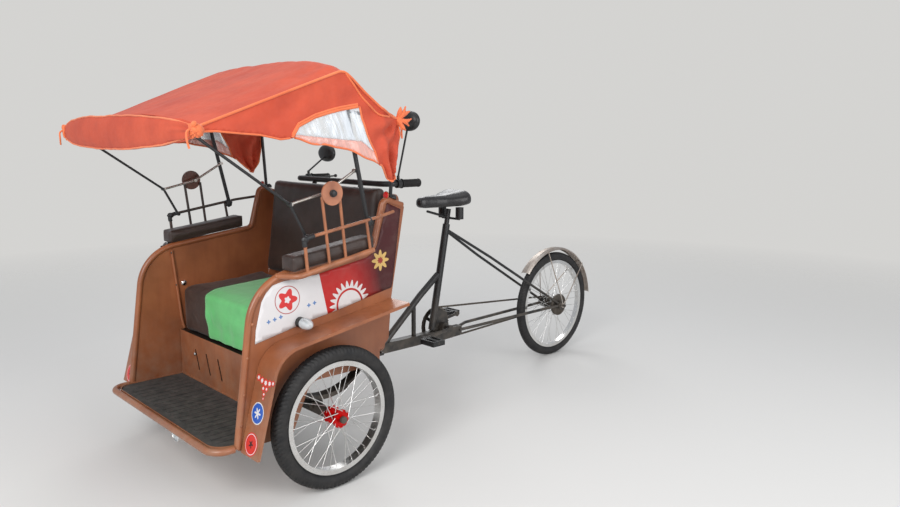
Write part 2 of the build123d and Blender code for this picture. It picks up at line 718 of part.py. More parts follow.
with BuildPart() as hood_struts:
    for side in (-1, 1):
        disc_pin = at(side * STRUT_X, *DISC_CENTRE)
        post_pin = at(side * STRUT_X, *POST_PIN)
        knuckle = at(side * STRUT_X, *KNUCKLE)
        rail_pin = at(side * STRUT_X, RAIL_FRONT[0] + RAIL_BEND, RAIL_FRONT[1] + rail_slope * RAIL_BEND)
        for start, end in (
            (disc_pin, post_pin),
            (disc_pin, knuckle),
            (knuckle, rail_pin),
            (knuckle, at(side * STRUT_X, *STRUT_HEAD)),
        ):
            bar(start, end, STRUT_R)
        pin_ends = (
            (disc_pin, RAIL_X + ROD_R),
            (post_pin, RAIL_X - RAIL_R - 2 * POST_R - 2 * TOUCH),
            (knuckle, STRUT_X + 12),
            (rail_pin, RAIL_X - RAIL_R - TOUCH),
        )
        for pin, reach in pin_ends:
            bar(pin - Vector(side * 8, 0, 0), Vector(side * reach, pin.Y, pin.Z), PIN_R + 3)
save(hood_struts, "hood_struts")


def hoop(y, half_w, side_z, crown_z, foot, radius):
    """A hood bow: two legs from their feet, joined by one arc over the cabin."""
    left, right = at(half_w, y, side_z), at(-half_w, y, side_z)
    with BuildLine() as arch:
        ThreePointArc(left, at(0, y, crown_z), right)
    with BuildSketch(arch.line ^ 0) as section:
        Circle(radius)
    sweep(section.sketch, path=arch.line)
    for side, corner in ((1, left), (-1, right)):
        bar(at(side * foot[0], foot[1], foot[2]), corner, radius)
        with Locations(corner):
            Sphere(radius)


with BuildPart() as hood_bows:
    post_x = RAIL_X - RAIL_R - POST_R - TOUCH
    station = HOOD_STATIONS[1]
    under = (HOOD_T + POST_R + SOFT_GAP) / math.cos(math.radians(ROOF_FALL))
    hoop(
        station[0],
        station[1] - HOOD_T - POST_R - SOFT_GAP,
        station[2] - under - 2,
        station[3] - under,
        (post_x, *POST_CLAMP),
        POST_R,
    )
    tail, rear = HOOD_STATIONS[-2:]
    bow_y = rear[0] - REAR_BOW_INSET
    share = (bow_y - tail[0]) / (rear[0] - tail[0])
    bow_half, bow_side, bow_crown = (tail[i] + share * (rear[i] - tail[i]) for i in (1, 2, 3))
    under = (HOOD_T + BOW_R + SOFT_GAP) / math.cos(math.radians(ROOF_FALL))
    (ear_y, ear_z), (tail_y, tail_z) = EDGE_TUBE[-2:]
    ear_slope = (tail_z - ear_z) / (tail_y - ear_y)
    ear_rise = EDGE_TUBE_R * math.hypot(1, ear_slope) - ear_slope * BOW_R
    ear_top = ear_z + ear_slope * (bow_y - ear_y) + ear_rise + SOFT_GAP
    hoop(
        bow_y,
        bow_half - under,
        bow_side - under - 1,
        bow_crown - under - 2,
        (PANEL_X, bow_y, ear_top),
        BOW_R,
    )
save(hood_bows, "hood_bows")


def hood_section(half_w, side_z, crown_z, hem_z, plane):
    """The cloth cut across the cabin: two skirts and an arch, one cloth thick."""
    thin = HOOD_T
    with BuildSketch(plane) as section:
        with BuildLine():
            outer_left = Line((half_w, hem_z), (half_w, side_z))
            outer = ThreePointArc(outer_left @ 1, (0, crown_z), (-half_w, side_z))
            outer_right = Line(outer @ 1, (-half_w, hem_z))
            foot_right = Line(outer_right @ 1, (-half_w + thin, hem_z))
            inner_right = Line(foot_right @ 1, (-half_w + thin, side_z - thin))
            inner = ThreePointArc(inner_right @ 1, (0, crown_z - thin), (half_w - thin, side_z - thin))
            inner_left = Line(inner @ 1, (half_w - thin, hem_z))
            Line(inner_left @ 1, outer_left @ 0)
        make_face()
    return section.sketch


def window_outline(inset):
    """The clear window seen from the side, made smaller all round by the inset."""
    with BuildSketch(mode=Mode.PRIVATE) as outline:
        with BuildLine():
            Polyline(*WINDOW, close=True)
        make_face()
        if inset:
            offset(amount=-inset, kind=Kind.INTERSECTION)
    return outline.sketch


with BuildPart() as hood_cover:
    sections = []
    for y, half_w, side_z, crown_z, hem_z in HOOD_STATIONS:
        cross_plane = Plane(origin=at(0, y, 0), x_dir=(1, 0, 0), z_dir=(0, -1, 0))
        sections.append(hood_section(half_w, side_z, crown_z, hem_z, cross_plane))
    loft(sections, ruled=True)
    with BuildSketch(SIDE):
        add(window_outline(0))
    extrude(amount=HOOD_STATIONS[0][1] + 5, both=True, mode=Mode.SUBTRACT)
save(hood_cover, "hood_cover")

with BuildPart() as hood_windows:
    for side in (-1, 1):
        with BuildSketch(SIDE.offset(side * (HOOD_STATIONS[1][1] - HOOD_T / 2) - WINDOW_T / 2)):
            add(window_outline(SOFT_GAP))
        extrude(amount=WINDOW_T)
save(hood_windows, "hood_windows")

with BuildPart() as hood_valance:
    with BuildSketch(SIDE.offset(-VALANCE_HALF_L)):
        with Locations((VALANCE_Y, VALANCE_Z)):
            RectangleRounded(VALANCE_T, VALANCE_H, VALANCE_T / 2 - 1)
    extrude(amount=2 * VALANCE_HALF_L)
    fillet(hood_valance.faces().sort_by(Axis.X)[0].edges(), 12)
    fillet(hood_valance.faces().sort_by(Axis.X)[-1].edges(), 12)
save(hood_valance, "hood_valance")

# Front mudguards: a strip over each wheel with its outer edge turned down.
def fender_profile(depth):
    """The mudguard's line seen from the side, as thick as its depth."""
    with BuildSketch(mode=Mode.PRIVATE) as profile:
        with BuildLine():
            upper = FilletPolyline(*FENDER_LINE, radius=FENDER_BEND)
            lower = offset(upper, amount=-depth, side=Side.RIGHT, closed=False, mode=Mode.PRIVATE)
            add(lower)
            low_ends = lower.vertices().sort_by(Axis.X)
            Line(upper @ 0, tuple(low_ends[0]))
            Line(upper @ 1, tuple(low_ends[-1]))
        make_face()
    return profile.sketch


with BuildPart() as front_fenders:
    for side in (-1, 1):
        inner_x, outer_x = (side * reach for reach in FENDER_X)
        with BuildSketch(SIDE.offset(inner_x)):
            add(fender_profile(FENDER_T))
        extrude(amount=outer_x - inner_x)
        with BuildSketch(SIDE.offset(outer_x)):
            add(fender_profile(FENDER_LIP))
        extrude(amount=-side * FENDER_T)
save(front_fenders, "front_fenders")


# Push bar behind the cabin: a cross tube with its ends turned back, on two brackets.
with BuildPart() as push_bar:
    tube(
        [
            at(-BAR_HALF_W, BAR_END_Y, BAR_Z),
            at(-BAR_HALF_W, BAR_Y, BAR_Z),
            at(BAR_HALF_W, BAR_Y, BAR_Z),
            at(BAR_HALF_W, BAR_END_Y, BAR_Z),
        ],
        [45.0, 45.0],
        BAR_R,
    )
    for side in (-1, 1):
        bracket_foot = BACK_PLANE.from_local_coords(Vector(side * BRACKET_X, BACK_LEN - 45))
        bar(bracket_foot, at(side * BRACKET_X, BAR_Y, BAR_Z), BAR_R - 2)
    with BuildSketch(BACK_PLANE.offset(-TOUCH)):
        Rectangle(2 * BACK_HALF_W, 3 * BACK_LEN)
    extrude(amount=4 * BAR_R, mode=Mode.SUBTRACT)
save(push_bar, "push_bar")

with BuildPart() as grips:
    for side in (-1, 1):
        grip_start = at(side * BAR_HALF_W, BAR_END_Y - GRIP_LEN, BAR_Z)
        grip_end = at(side * BAR_HALF_W, BAR_END_Y + 4, BAR_Z)
        bar(grip_start, grip_end, GRIP_R)
        bar(grip_start, at(side * BAR_HALF_W, BAR_END_Y + TOUCH, BAR_Z), BAR_R + TOUCH, mode=Mode.SUBTRACT)
save(grips, "grips")

with BuildPart() as brake_levers:
    for side in (-1, 1):
        collar = at(side * BAR_HALF_W, BAR_END_Y - GRIP_LEN - 24, BAR_Z)
        bar(collar, collar + Vector(0, 20, 0), BAR_R + 6)
        bar(collar, collar + Vector(0, 20, 0), BAR_R + TOUCH, mode=Mode.SUBTRACT)
        lever_root = collar + Vector(-side * 20, 10, -4)
        lever_tip = at(side * (BAR_HALF_W - 42), BAR_END_Y + 18, BAR_Z + 6)
        bar(collar + Vector(-side * (BAR_R + 3), 10, -4), lever_root, 6)
        bar(lever_root, lever_tip, 4)
        with Locations(lever_root):
            Sphere(6)
        with Locations(lever_tip):
            Sphere(8)
save(brake_levers, "brake_levers")

with BuildPart() as mirrors:
    for foot_x, foot_y, (head_x, head_y, head_z) in MIRRORS:
        stem_foot = at(foot_x, foot_y, BAR_Z + BAR_R + 6 + TOUCH)
        bar(stem_foot, stem_foot + Vector(0, 0, MIRROR_FOOT_H), MIRROR_STEM_R + 2)
        stem_foot = stem_foot + Vector(0, 0, MIRROR_FOOT_H - 3)
        stem_head = at(head_x, head_y - MIRROR_T / 2, head_z - 8)
        bar(stem_foot, stem_head, MIRROR_STEM_R)
        shell_plane = Plane(origin=at(head_x, head_y, head_z), x_dir=(1, 0, 0), z_dir=(0, -1, 0))
        with BuildSketch(shell_plane) as shell:
            Ellipse(MIRROR_W / 2, MIRROR_H / 2)
        extrude(amount=MIRROR_T)
save(mirrors, "mirrors")

# Lamps
with BuildPart() as headlamp:
    lamp_back = at(LAMP_AT[0], LAMP_AT[1] + LAMP_LEN, LAMP_AT[2])
    with BuildSketch(Plane(origin=at(*LAMP_AT), x_dir=(1, 0, 0), z_dir=(0, 1, 0))):
        Circle(LAMP_R)
    extrude(amount=LAMP_LEN * 0.4)
    with BuildSketch(Plane(origin=at(*LAMP_AT), x_dir=(1, 0, 0), z_dir=(0, 1, 0)).offset(LAMP_LEN * 0.4)):
        Circle(LAMP_R)
    extrude(amount=LAMP_LEN * 0.6, taper=24)
    stalk_foot = at(LAMP_AT[0], LAMP_AT[1] + LAMP_LEN / 2, LAMP_AT[2])
    bar(stalk_foot, at(LAMP_AT[0], LAMP_AT[1] + LAMP_LEN / 2, FLOOR_Z - FLOOR_T - TOUCH), 6)
save(headlamp, "headlamp")

with BuildPart() as signal_bases:
    for side in (-1, 1):
        base_start = at(side * (PANEL_X + PANEL_T / 2 + TOUCH), *SIGNAL_AT)
        bar(base_start, base_start + Vector(side * SIGNAL_BASE, 0, 0), SIGNAL_R)
save(signal_bases, "signal_bases")

with BuildPart() as signal_lenses:
    for side in (-1, 1):
        lens_start = at(side * (PANEL_X + PANEL_T / 2 + 2 * TOUCH + SIGNAL_BASE), *SIGNAL_AT)
        bar(lens_start, lens_start + Vector(side * SIGNAL_LENS, 0, 0), SIGNAL_R + 1)
    lens_rims = signal_lenses.edges().filter_by(GeomType.CIRCLE).sort_by(Axis.X)
    fillet([lens_rims[0], lens_rims[-1]], 9)
save(signal_lenses, "signal_lenses")

# Rear frame: kingpin sleeve, box beam, seat tube, curved brace, bottom bracket and stays.
AXLE_END = (WHEELBASE, REAR_TYRE_R)


def seat_line(z):
    """The point on the seat tube's axis at one height."""
    foot_y, foot_z = SEAT_TUBE_FOOT
    top_y, top_z = SADDLE_POST_TOP
    return (foot_y + (top_y - foot_y) * (z - foot_z) / (top_z - foot_z), z)


SEAT_TUBE_HEAD = seat_line(SEAT_TUBE_TOP_Z)
SEAT_POST_FOOT = seat_line(SEAT_TUBE_TOP_Z - SEAT_POST_SUNK)
with BuildPart() as rear_frame:
    bar(at(0, KINGPIN_Y, SLEEVE_LOW), at(0, KINGPIN_Y, SLEEVE_HIGH), SLEEVE_R)
    with BuildSketch(SIDE.offset(-BEAM_W / 2)):
        with Locations(((KINGPIN_Y + BEAM_END) / 2, BEAM_Z)):
            Rectangle(BEAM_END - KINGPIN_Y, BEAM_H)
    extrude(amount=BEAM_W)
    bar(at(0, *SEAT_TUBE_FOOT), at(0, *SEAT_TUBE_HEAD), TUBE_R + 2)
    tube([at(0, *point) for point in BRACE_LINE], BRACE_BENDS, TUBE_R)
    bar(at(0, STRUT_Y, BEAM_Z), at(0, STRUT_Y, STRUT_TOP), TUBE_R - 5)
    bar(at(-BB_HALF, BB_Y, BB_Z), at(BB_HALF, BB_Y, BB_Z), BB_R)
    with BuildSketch(SIDE.offset(-GUSSET_T / 2)):
        with BuildLine():
            Polyline(*GUSSET, close=True)
        make_face()
    extrude(amount=GUSSET_T)
    with BuildSketch(SIDE.offset(-BEAM_W / 2)):
        with Locations((BB_Y, (BB_Z + BEAM_Z) / 2)):
            Rectangle(2 * BB_R, BB_Z - BEAM_Z)
    extrude(amount=BEAM_W)
    for side in (-1, 1):
        low_bend = at(side * STAY_SPREAD, BEAM_END + 90, STAY_RISE)
        high_bend = at(side * STAY_SPREAD, *SEAT_STAY_BEND)
        dropout = at(side * (STAY_X - STAY_R), *AXLE_END)
        bar(at(side * (BEAM_W / 2 - 2), BEAM_END - 14, BEAM_Z + 4), low_bend, STAY_R)
        bar(at(side * 10, *SEAT_STAY_HEAD), high_bend, STAY_R - 1)
        for bend, radius in ((low_bend, STAY_R), (high_bend, STAY_R - 1)):
            bar(bend, dropout - (dropout - bend).normalized() * STAY_END_GAP, radius)
            with Locations(bend):
                Sphere(radius)
        with BuildSketch(SIDE.offset(side * STAY_X - DROPOUT_T / 2)):
            with Locations(AXLE_END):
                Circle(DROPOUT_R)
        extrude(amount=DROPOUT_T)
    axle_shoulder = REAR_AXLE_HALF - AXLE_THREAD_LEN
    bar(at(-axle_shoulder, *AXLE_END), at(axle_shoulder, *AXLE_END), AXLE_R)
    bar(at(-REAR_AXLE_HALF, *AXLE_END), at(REAR_AXLE_HALF, *AXLE_END), AXLE_THREAD_R)
    sleeve_ends = at(0, KINGPIN_Y, SLEEVE_LOW - 1), at(0, KINGPIN_Y, SLEEVE_HIGH + 1)
    bar(*sleeve_ends, KINGPIN_R + KINGPIN_CLEARANCE, mode=Mode.SUBTRACT)
    crank_bore = CRANK_AXLE_R + AXLE_CLEARANCE
    bar(at(-BB_HALF - 1, BB_Y, BB_Z), at(BB_HALF + 1, BB_Y, BB_Z), crank_bore, mode=Mode.SUBTRACT)
    post_foot = at(0, *seat_line(SEAT_POST_FOOT[1] - 2))
    bar(post_foot, at(0, *SADDLE_POST_TOP), POST_TUBE_R + TOUCH, mode=Mode.SUBTRACT)
save(rear_frame, "rear_frame")

with BuildPart() as seat_post:
    bar(at(0, *SEAT_POST_FOOT), at(0, *SADDLE_POST_TOP), POST_TUBE_R)
    coil_y = SADDLE_BACK - COIL_INSET
    coil_z = SADDLE_Z - COIL_LEN
    for side in (-1, 1):
        coil_foot = at(side * COIL_X, coil_y, coil_z)
        bar(coil_foot, coil_foot + Vector(0, 0, COIL_LEN - TOUCH), COIL_R)
    bar(at(-COIL_X, coil_y, coil_z), at(COIL_X, coil_y, coil_z), 6)
    bar(at(0, coil_y, coil_z), at(0, SADDLE_NOSE + SADDLE_RAIL_INSET, SADDLE_Z - SADDLE_RAIL_FALL), 6)
save(seat_post, "seat_post")

with BuildPart() as saddle:
    with BuildSketch(TOP.offset(SADDLE_Z)) as saddle_outline:
        with BuildLine():
            throat_y = SADDLE_NOSE + NOSE_LEN
            hip_y = SADDLE_BACK - SADDLE_HIP
            corner_y = SADDLE_BACK - SADDLE_CORNER
            hip_x, corner_x = SADDLE_W / 2 - 8, SADDLE_W / 2 - 4
            nose = ThreePointArc((-NOSE_HALF_W, throat_y), (0, SADDLE_NOSE), (NOSE_HALF_W, throat_y))
            left = Line(nose @ 1, (hip_x, hip_y))
            back = ThreePointArc(left @ 1, (corner_x, corner_y), (SADDLE_TAIL_HALF, SADDLE_BACK))
            rear = Line(back @ 1, (-SADDLE_TAIL_HALF, SADDLE_BACK))
            hip = ThreePointArc(rear @ 1, (-corner_x, corner_y), (-hip_x, hip_y))
            Line(hip @ 1, nose @ 0)
        make_face()
    extrude(amount=SADDLE_H)
    fillet(saddle.faces().sort_by(Axis.Z)[-1].edges(), 16)
save(saddle, "saddle")

with BuildPart() as rear_fender:
    start = math.radians(REAR_FENDER_ARC[0])
    axle = at(0, *AXLE_END)
    fender_plane = Plane(origin=axle, x_dir=(1, 0, 0), z_dir=(0, -math.sin(start), math.cos(start)))
    with BuildSketch(fender_plane):
        with BuildLine():
            outer = [(x, REAR_FENDER_R - fall) for x, fall in FENDER_CROWN]
            inner = [(x - REAR_FENDER_T, height - REAR_FENDER_T) for x, height in outer]
            right_half = outer[::-1] + inner
            left_half = [(-x, height) for x, height in reversed(right_half)]
            Polyline(*right_half, *left_half, close=True)
        make_face()
    revolve(axis=Axis(axle, (1, 0, 0)), revolution_arc=REAR_FENDER_ARC[1] - REAR_FENDER_ARC[0])
    eye_x = STAY_X + DROPOUT_T / 2 + TOUCH
    wire_x = eye_x + FENDER_EYE_T / 2
    fender_half, lip_fall = FENDER_CROWN[0]
    clip_x = fender_half + FENDER_STAY_R + 1
    clip_reach = REAR_FENDER_R - lip_fall + 2
    for turn in REAR_STAY_ANGLES:
        along = Vector(0, math.cos(math.radians(turn)), math.sin(math.radians(turn)))
        wire = [
            axle + Vector(wire_x, 0, 0),
            axle + Vector(wire_x, 0, 0) + along * FENDER_KNEE,
            axle + Vector(clip_x, 0, 0) + along * clip_reach,
        ]
        mirrored = [Vector(-point.X, point.Y, point.Z) for point in reversed(wire)]
        tube(wire + mirrored, [20.0, 3.5, 3.5, 20.0], FENDER_STAY_R)
    for side in (-1, 1):
        eye_start = at(side * eye_x, *AXLE_END)
        bar(eye_start, eye_start + Vector(side * FENDER_EYE_T, 0, 0), AXLE_R + 6)
        bore_ends = eye_start - Vector(side * 9, 0, 0), eye_start + Vector(side * 15, 0, 0)
        bar(*bore_ends, AXLE_R + TOUCH, mode=Mode.SUBTRACT)
save(rear_fender, "rear_fender")

# Drive: cranks with chain ring, pedals and the chain loop.
CRANK = math.radians(CRANK_ANGLE)


def crank_end(side, x):
    """The crank arm's outer end on one side, the right arm opposite the left."""
    return at(
        x, BB_Y + side * CRANK_LEN * math.cos(CRANK), BB_Z + side * CRANK_LEN * math.sin(CRANK)
    )


with BuildPart() as crankset:
    bar(at(-CRANK_X - 6, BB_Y, BB_Z), at(CRANK_X + 6, BB_Y, BB_Z), CRANK_AXLE_R)
    for side in (-1, 1):
        arm_x = side * CRANK_X
        arm_root = at(arm_x, BB_Y, BB_Z)
        bar(arm_root, crank_end(side, arm_x), 8)
        for middle, boss_r in ((arm_root, 17), (crank_end(side, arm_x), 13)):
            bar(middle - Vector(7, 0, 0), middle + Vector(7, 0, 0), boss_r)
        pin_start = crank_end(side, arm_x)
        bar(pin_start, pin_start + Vector(side * (PEDAL_W + PEDAL_GAP), 0, 0), PEDAL_PIN_R)
    with BuildSketch(SIDE.offset(CHAIN_X - 1.5)):
        with Locations((BB_Y, BB_Z)):
            Circle(RING_R - CHAIN_H / 2 - TOUCH)
            Circle(RING_R - 18, mode=Mode.SUBTRACT)
            with PolarLocations(0, 5):
                with Locations((RING_R / 2, 0)):
                    Rectangle(RING_R - 14, 16)
            Circle(20)
    extrude(amount=3)
    bar(at(CHAIN_X - 1, BB_Y, BB_Z), at(-CRANK_X, BB_Y, BB_Z), 14)
save(crankset, "crankset")

for name, side in (("left", 1), ("right", -1)):
    with BuildPart() as pedal:
        pedal_mid = crank_end(side, side * (CRANK_X + PEDAL_GAP + PEDAL_W / 2))
        with Locations(pedal_mid):
            Box(PEDAL_W, PEDAL_L, PEDAL_T)
            for slot_y in (-1, 1):
                with Locations((0, slot_y * PEDAL_L / 4, 0)):
                    Box(PEDAL_W - 24, PEDAL_L / 4, PEDAL_T + 2, mode=Mode.SUBTRACT)
        pedal_bore = PEDAL_PIN_R + AXLE_CLEARANCE
        half = Vector(PEDAL_W / 2 + 1, 0, 0)
        bar(pedal_mid - half, pedal_mid + half, pedal_bore, mode=Mode.SUBTRACT)
    save(pedal, "pedal_" + name)


def chain_outline(reach):
    """The belt round ring and sprocket, at a given distance outside their pitch circles."""
    run = math.hypot(WHEELBASE - BB_Y, REAR_TYRE_R - BB_Z)
    slope = math.atan2(REAR_TYRE_R - BB_Z, WHEELBASE - BB_Y)
    open_angle = math.acos((RING_R - SPROCKET_R) / run)
    ring, sprocket = RING_R + reach, SPROCKET_R + reach
    marks = []
    for centre, radius in (((BB_Y, BB_Z), ring), ((WHEELBASE, REAR_TYRE_R), sprocket)):
        for turn in (slope + open_angle, slope - open_angle):
            marks.append((centre[0] + radius * math.cos(turn), centre[1] + radius * math.sin(turn)))
    ring_top, ring_low, sprocket_top, sprocket_low = marks
    with BuildSketch(mode=Mode.PRIVATE) as outline:
        with BuildLine():
            Line(ring_top, sprocket_top)
            ThreePointArc(
                sprocket_top,
                (WHEELBASE + sprocket * math.cos(slope), REAR_TYRE_R + sprocket * math.sin(slope)),
                sprocket_low,
            )
            Line(sprocket_low, ring_low)
            ThreePointArc(
                ring_low,
                (BB_Y - ring * math.cos(slope), BB_Z - ring * math.sin(slope)),
                ring_top,
            )
        make_face()
    return outline.sketch


with BuildPart() as chain:
    with BuildSketch(SIDE.offset(CHAIN_X - CHAIN_W / 2)):
        add(chain_outline(CHAIN_H / 2))
        add(chain_outline(-CHAIN_H / 2), mode=Mode.SUBTRACT)
    extrude(amount=CHAIN_W)
save(chain, "chain")
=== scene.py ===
import json
import math

import bmesh
import bpy
from mathutils import Matrix, Vector, geometry, noise
from mathutils.bvhtree import BVHTree
from mathutils.kdtree import KDTree


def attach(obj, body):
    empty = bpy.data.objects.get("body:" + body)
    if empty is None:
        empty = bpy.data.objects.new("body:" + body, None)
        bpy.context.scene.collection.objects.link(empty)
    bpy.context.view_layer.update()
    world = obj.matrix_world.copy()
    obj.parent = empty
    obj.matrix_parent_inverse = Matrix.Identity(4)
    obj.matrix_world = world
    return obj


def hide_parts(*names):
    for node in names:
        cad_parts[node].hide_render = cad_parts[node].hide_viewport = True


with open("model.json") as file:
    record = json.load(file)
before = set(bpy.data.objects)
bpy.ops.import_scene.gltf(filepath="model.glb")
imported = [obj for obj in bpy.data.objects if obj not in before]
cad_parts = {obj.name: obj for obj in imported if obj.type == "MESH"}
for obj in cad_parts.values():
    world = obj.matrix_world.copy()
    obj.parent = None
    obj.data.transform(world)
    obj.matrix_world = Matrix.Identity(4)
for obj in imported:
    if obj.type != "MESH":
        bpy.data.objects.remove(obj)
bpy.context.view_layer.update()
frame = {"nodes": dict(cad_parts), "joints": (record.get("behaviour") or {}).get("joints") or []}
nodes = frame["nodes"]
joint_place = {joint["name"]: Vector(joint["pos_m"]) for joint in frame["joints"]}
FRONT_AXLE = joint_place["front_wheel_left_spin"]
AXLE_Y = FRONT_AXLE.y


# Small tools for shaders: each material is a principled shader fed by a few named patterns.
class Finish:
    """One procedural material, in the object's own space, in metres."""

    def __init__(self, name, colour, roughness=0.5, metallic=0.0, **sockets):
        self.material = bpy.data.materials.new(name)
        self.material.use_nodes = True
        self.tree = self.material.node_tree
        self.shader = self.tree.nodes["Principled BSDF"]
        self.material.diffuse_color = (*colour, 1)
        self.set("Base Color", (*colour, 1))
        self.set("Roughness", roughness)
        self.set("Metallic", metallic)
        for socket, value in sockets.items():
            self.set(socket.replace("_", " "), value)
        self.place = self.add("ShaderNodeTexCoord").outputs["Object"]
        self.normal = None

    def set(self, socket, value):
        """Gives a shader socket a plain value."""
        self.shader.inputs[socket].default_value = value

    def add(self, kind, **values):
        """A node of one kind, with its own settings or its input sockets' values."""
        node = self.tree.nodes.new(kind)
        for key, value in values.items():
            if hasattr(node, key):
                setattr(node, key, value)
            else:
                node.inputs[key.replace("_", " ")].default_value = value
        return node

    def link(self, source, target):
        self.tree.links.new(source, target)

    def stretched(self, scale):
        """The object's space, scaled by axis."""
        mapping = self.add("ShaderNodeMapping")
        mapping.inputs["Scale"].default_value = scale
        self.link(self.place, mapping.inputs["Vector"])
        return mapping.outputs["Vector"]

    def noise(self, scale, detail=4.0, rough=0.55, space=None):
        """A noise value, scale counted per metre."""
        node = self.add("ShaderNodeTexNoise", Scale=scale, Detail=detail, Roughness=rough)
        self.link(space or self.place, node.inputs["Vector"])
        return node.outputs["Fac"]

    def band(self, source, low, high, to_low=0.0, to_high=1.0):
        """The source value, clipped between low and high and spread to a new range."""
        node = self.add("ShaderNodeMapRange")
        for socket, value in (("From Min", low), ("From Max", high), ("To Min", to_low), ("To Max", to_high)):
            node.inputs[socket].default_value = value
        self.link(source, node.inputs["Value"])
        return node.outputs["Result"]

    def math(self, operation, first, second):
        """Two values, or a value and a number, put together."""
        node = self.add("ShaderNodeMath", operation=operation)
        for socket, value in zip(node.inputs, (first, second)):
            if isinstance(value, (int, float)):
                socket.default_value = value
            else:
                self.link(value, socket)
        return node.outputs["Value"]

    def mix(self, share, first, second):
        """Two colours mixed by a value. Each is a colour or another mix."""
        node = self.add("ShaderNodeMix", data_type="RGBA")
        self.link(share, node.inputs[0])
        for socket, value in ((node.inputs[6], first), (node.inputs[7], second)):
            if isinstance(value, tuple):
                socket.default_value = (*value, 1)
            else:
                self.link(value, socket)
        return node.outputs[2]

    def axis(self, index):
        """One coordinate of the object's space, in metres."""
        node = self.add("ShaderNodeSeparateXYZ")
        self.link(self.place, node.inputs[0])
        return node.outputs[index]

    def rosette(self, middle, reach, petals, depth):
        """1 inside a flower drawn on the side of the part round a place given as y and z."""
        across = self.math("SUBTRACT", self.axis(1), middle[0] / 1000 + AXLE_Y)
        up = self.math("SUBTRACT", self.axis(2), middle[1] / 1000)
        wave = self.math("COSINE", self.math("MULTIPLY", self.math("ARCTAN2", up, across), petals), 0)
        square = self.math("ADD", self.math("MULTIPLY", across, across), self.math("MULTIPLY", up, up))
        edge = self.math("ADD", self.math("MULTIPLY", wave, depth / 1000), reach / 1000)
        return self.band(self.math("SUBTRACT", edge, self.math("SQRT", square, 0)), -0.0006, 0.0006)

    def edges(self, radius):
        """1 on worn edges and 0 on flats, from the angle between bevelled and true normals."""
        bevel = self.add("ShaderNodeBevel", samples=4)
        bevel.inputs["Radius"].default_value = radius
        true = self.add("ShaderNodeNewGeometry")
        dot = self.add("ShaderNodeVectorMath", operation="DOT_PRODUCT")
        self.link(bevel.outputs[0], dot.inputs[0])
        self.link(true.outputs["Normal"], dot.inputs[1])
        return self.band(dot.outputs["Value"], 0.985, 0.9)

    def colour(self, source):
        self.link(source, self.shader.inputs["Base Color"])

    def rough(self, source):
        self.link(source, self.shader.inputs["Roughness"])

    def metal(self, source):
        self.link(source, self.shader.inputs["Metallic"])

    def bump(self, height, strength, distance):
        """Raises the surface by a height pattern, over what earlier calls raised."""
        node = self.add("ShaderNodeBump", Strength=strength, Distance=distance)
        self.link(height, node.inputs["Height"])
        if self.normal:
            self.link(self.normal, node.inputs["Normal"])
        self.normal = node.outputs["Normal"]
        self.link(self.normal, self.shader.inputs["Normal"])


def paint(name, colour, dark, chip, gloss=0.32, wear=0.003, coat=0.2, shade_from=None):
    """Brushed-on gloss paint with runs, road dust low down and worn edges, and painted shade behind
    shade_from.
    """
    finish = Finish(name, colour, gloss, Coat_Weight=coat, Coat_Roughness=0.2)
    blotch = finish.band(finish.noise(5.0, 6.0), 0.35, 0.7)
    streak = finish.band(finish.noise(3.0, 5.0, 0.6, finish.stretched((14, 14, 1.5))), 0.42, 0.72)
    dust = finish.band(finish.axis(2), 0.55, 0.2)
    dusty = finish.math("MULTIPLY", dust, finish.band(finish.noise(22.0, 8.0), 0.3, 0.75))
    tone = finish.mix(blotch, colour, dark)
    tone = finish.mix(finish.math("MULTIPLY", streak, 0.35), tone, dark)
    tone = finish.mix(finish.math("MULTIPLY", dusty, 0.4), tone, (0.30, 0.24, 0.18))
    nick = finish.band(finish.noise(60.0, 6.0, 0.7), 0.55, 0.7)
    worn = finish.math("MULTIPLY", finish.edges(wear), nick)
    tone = finish.mix(worn, tone, chip)
    # Painted shade: behind shade_from, the seat box's slots and insides are coloured near black.
    if shade_from is not None:
        painted_slot_shade = finish.band(finish.axis(1), shade_from, shade_from + 0.001)
        tone = finish.mix(painted_slot_shade, tone, (0.012, 0.008, 0.006))
    finish.colour(tone)
    finish.rough(finish.band(finish.noise(30.0, 6.0), 0.3, 0.8, gloss, gloss + 0.22))
    finish.bump(finish.noise(16.0, 2.0), 0.10, 0.002)
    finish.bump(finish.noise(300.0, 4.0), 0.05, 0.0006)
    return finish.material


def metal(name, colour, tarnish, roughness=0.2, cover=0.35, grain=(1, 1, 1)):
    """Bare or plated metal with spots of tarnish and fine scratches."""
    finish = Finish(name, colour, roughness, 1.0)
    spots = finish.band(finish.noise(70.0, 8.0, 0.7), 0.62 - 0.25 * cover, 0.75)
    film = finish.band(finish.noise(9.0, 5.0), 0.35, 0.75)
    tone = finish.mix(finish.math("MULTIPLY", film, cover), colour, tarnish)
    finish.colour(finish.mix(finish.math("MULTIPLY", spots, cover), tone, tarnish))
    fine = finish.noise(420.0, 3.0, 0.6, finish.stretched(grain))
    finish.rough(finish.band(fine, 0.3, 0.75, roughness, roughness + 0.2))
    finish.bump(fine, 0.06, 0.0004)
    return finish.material


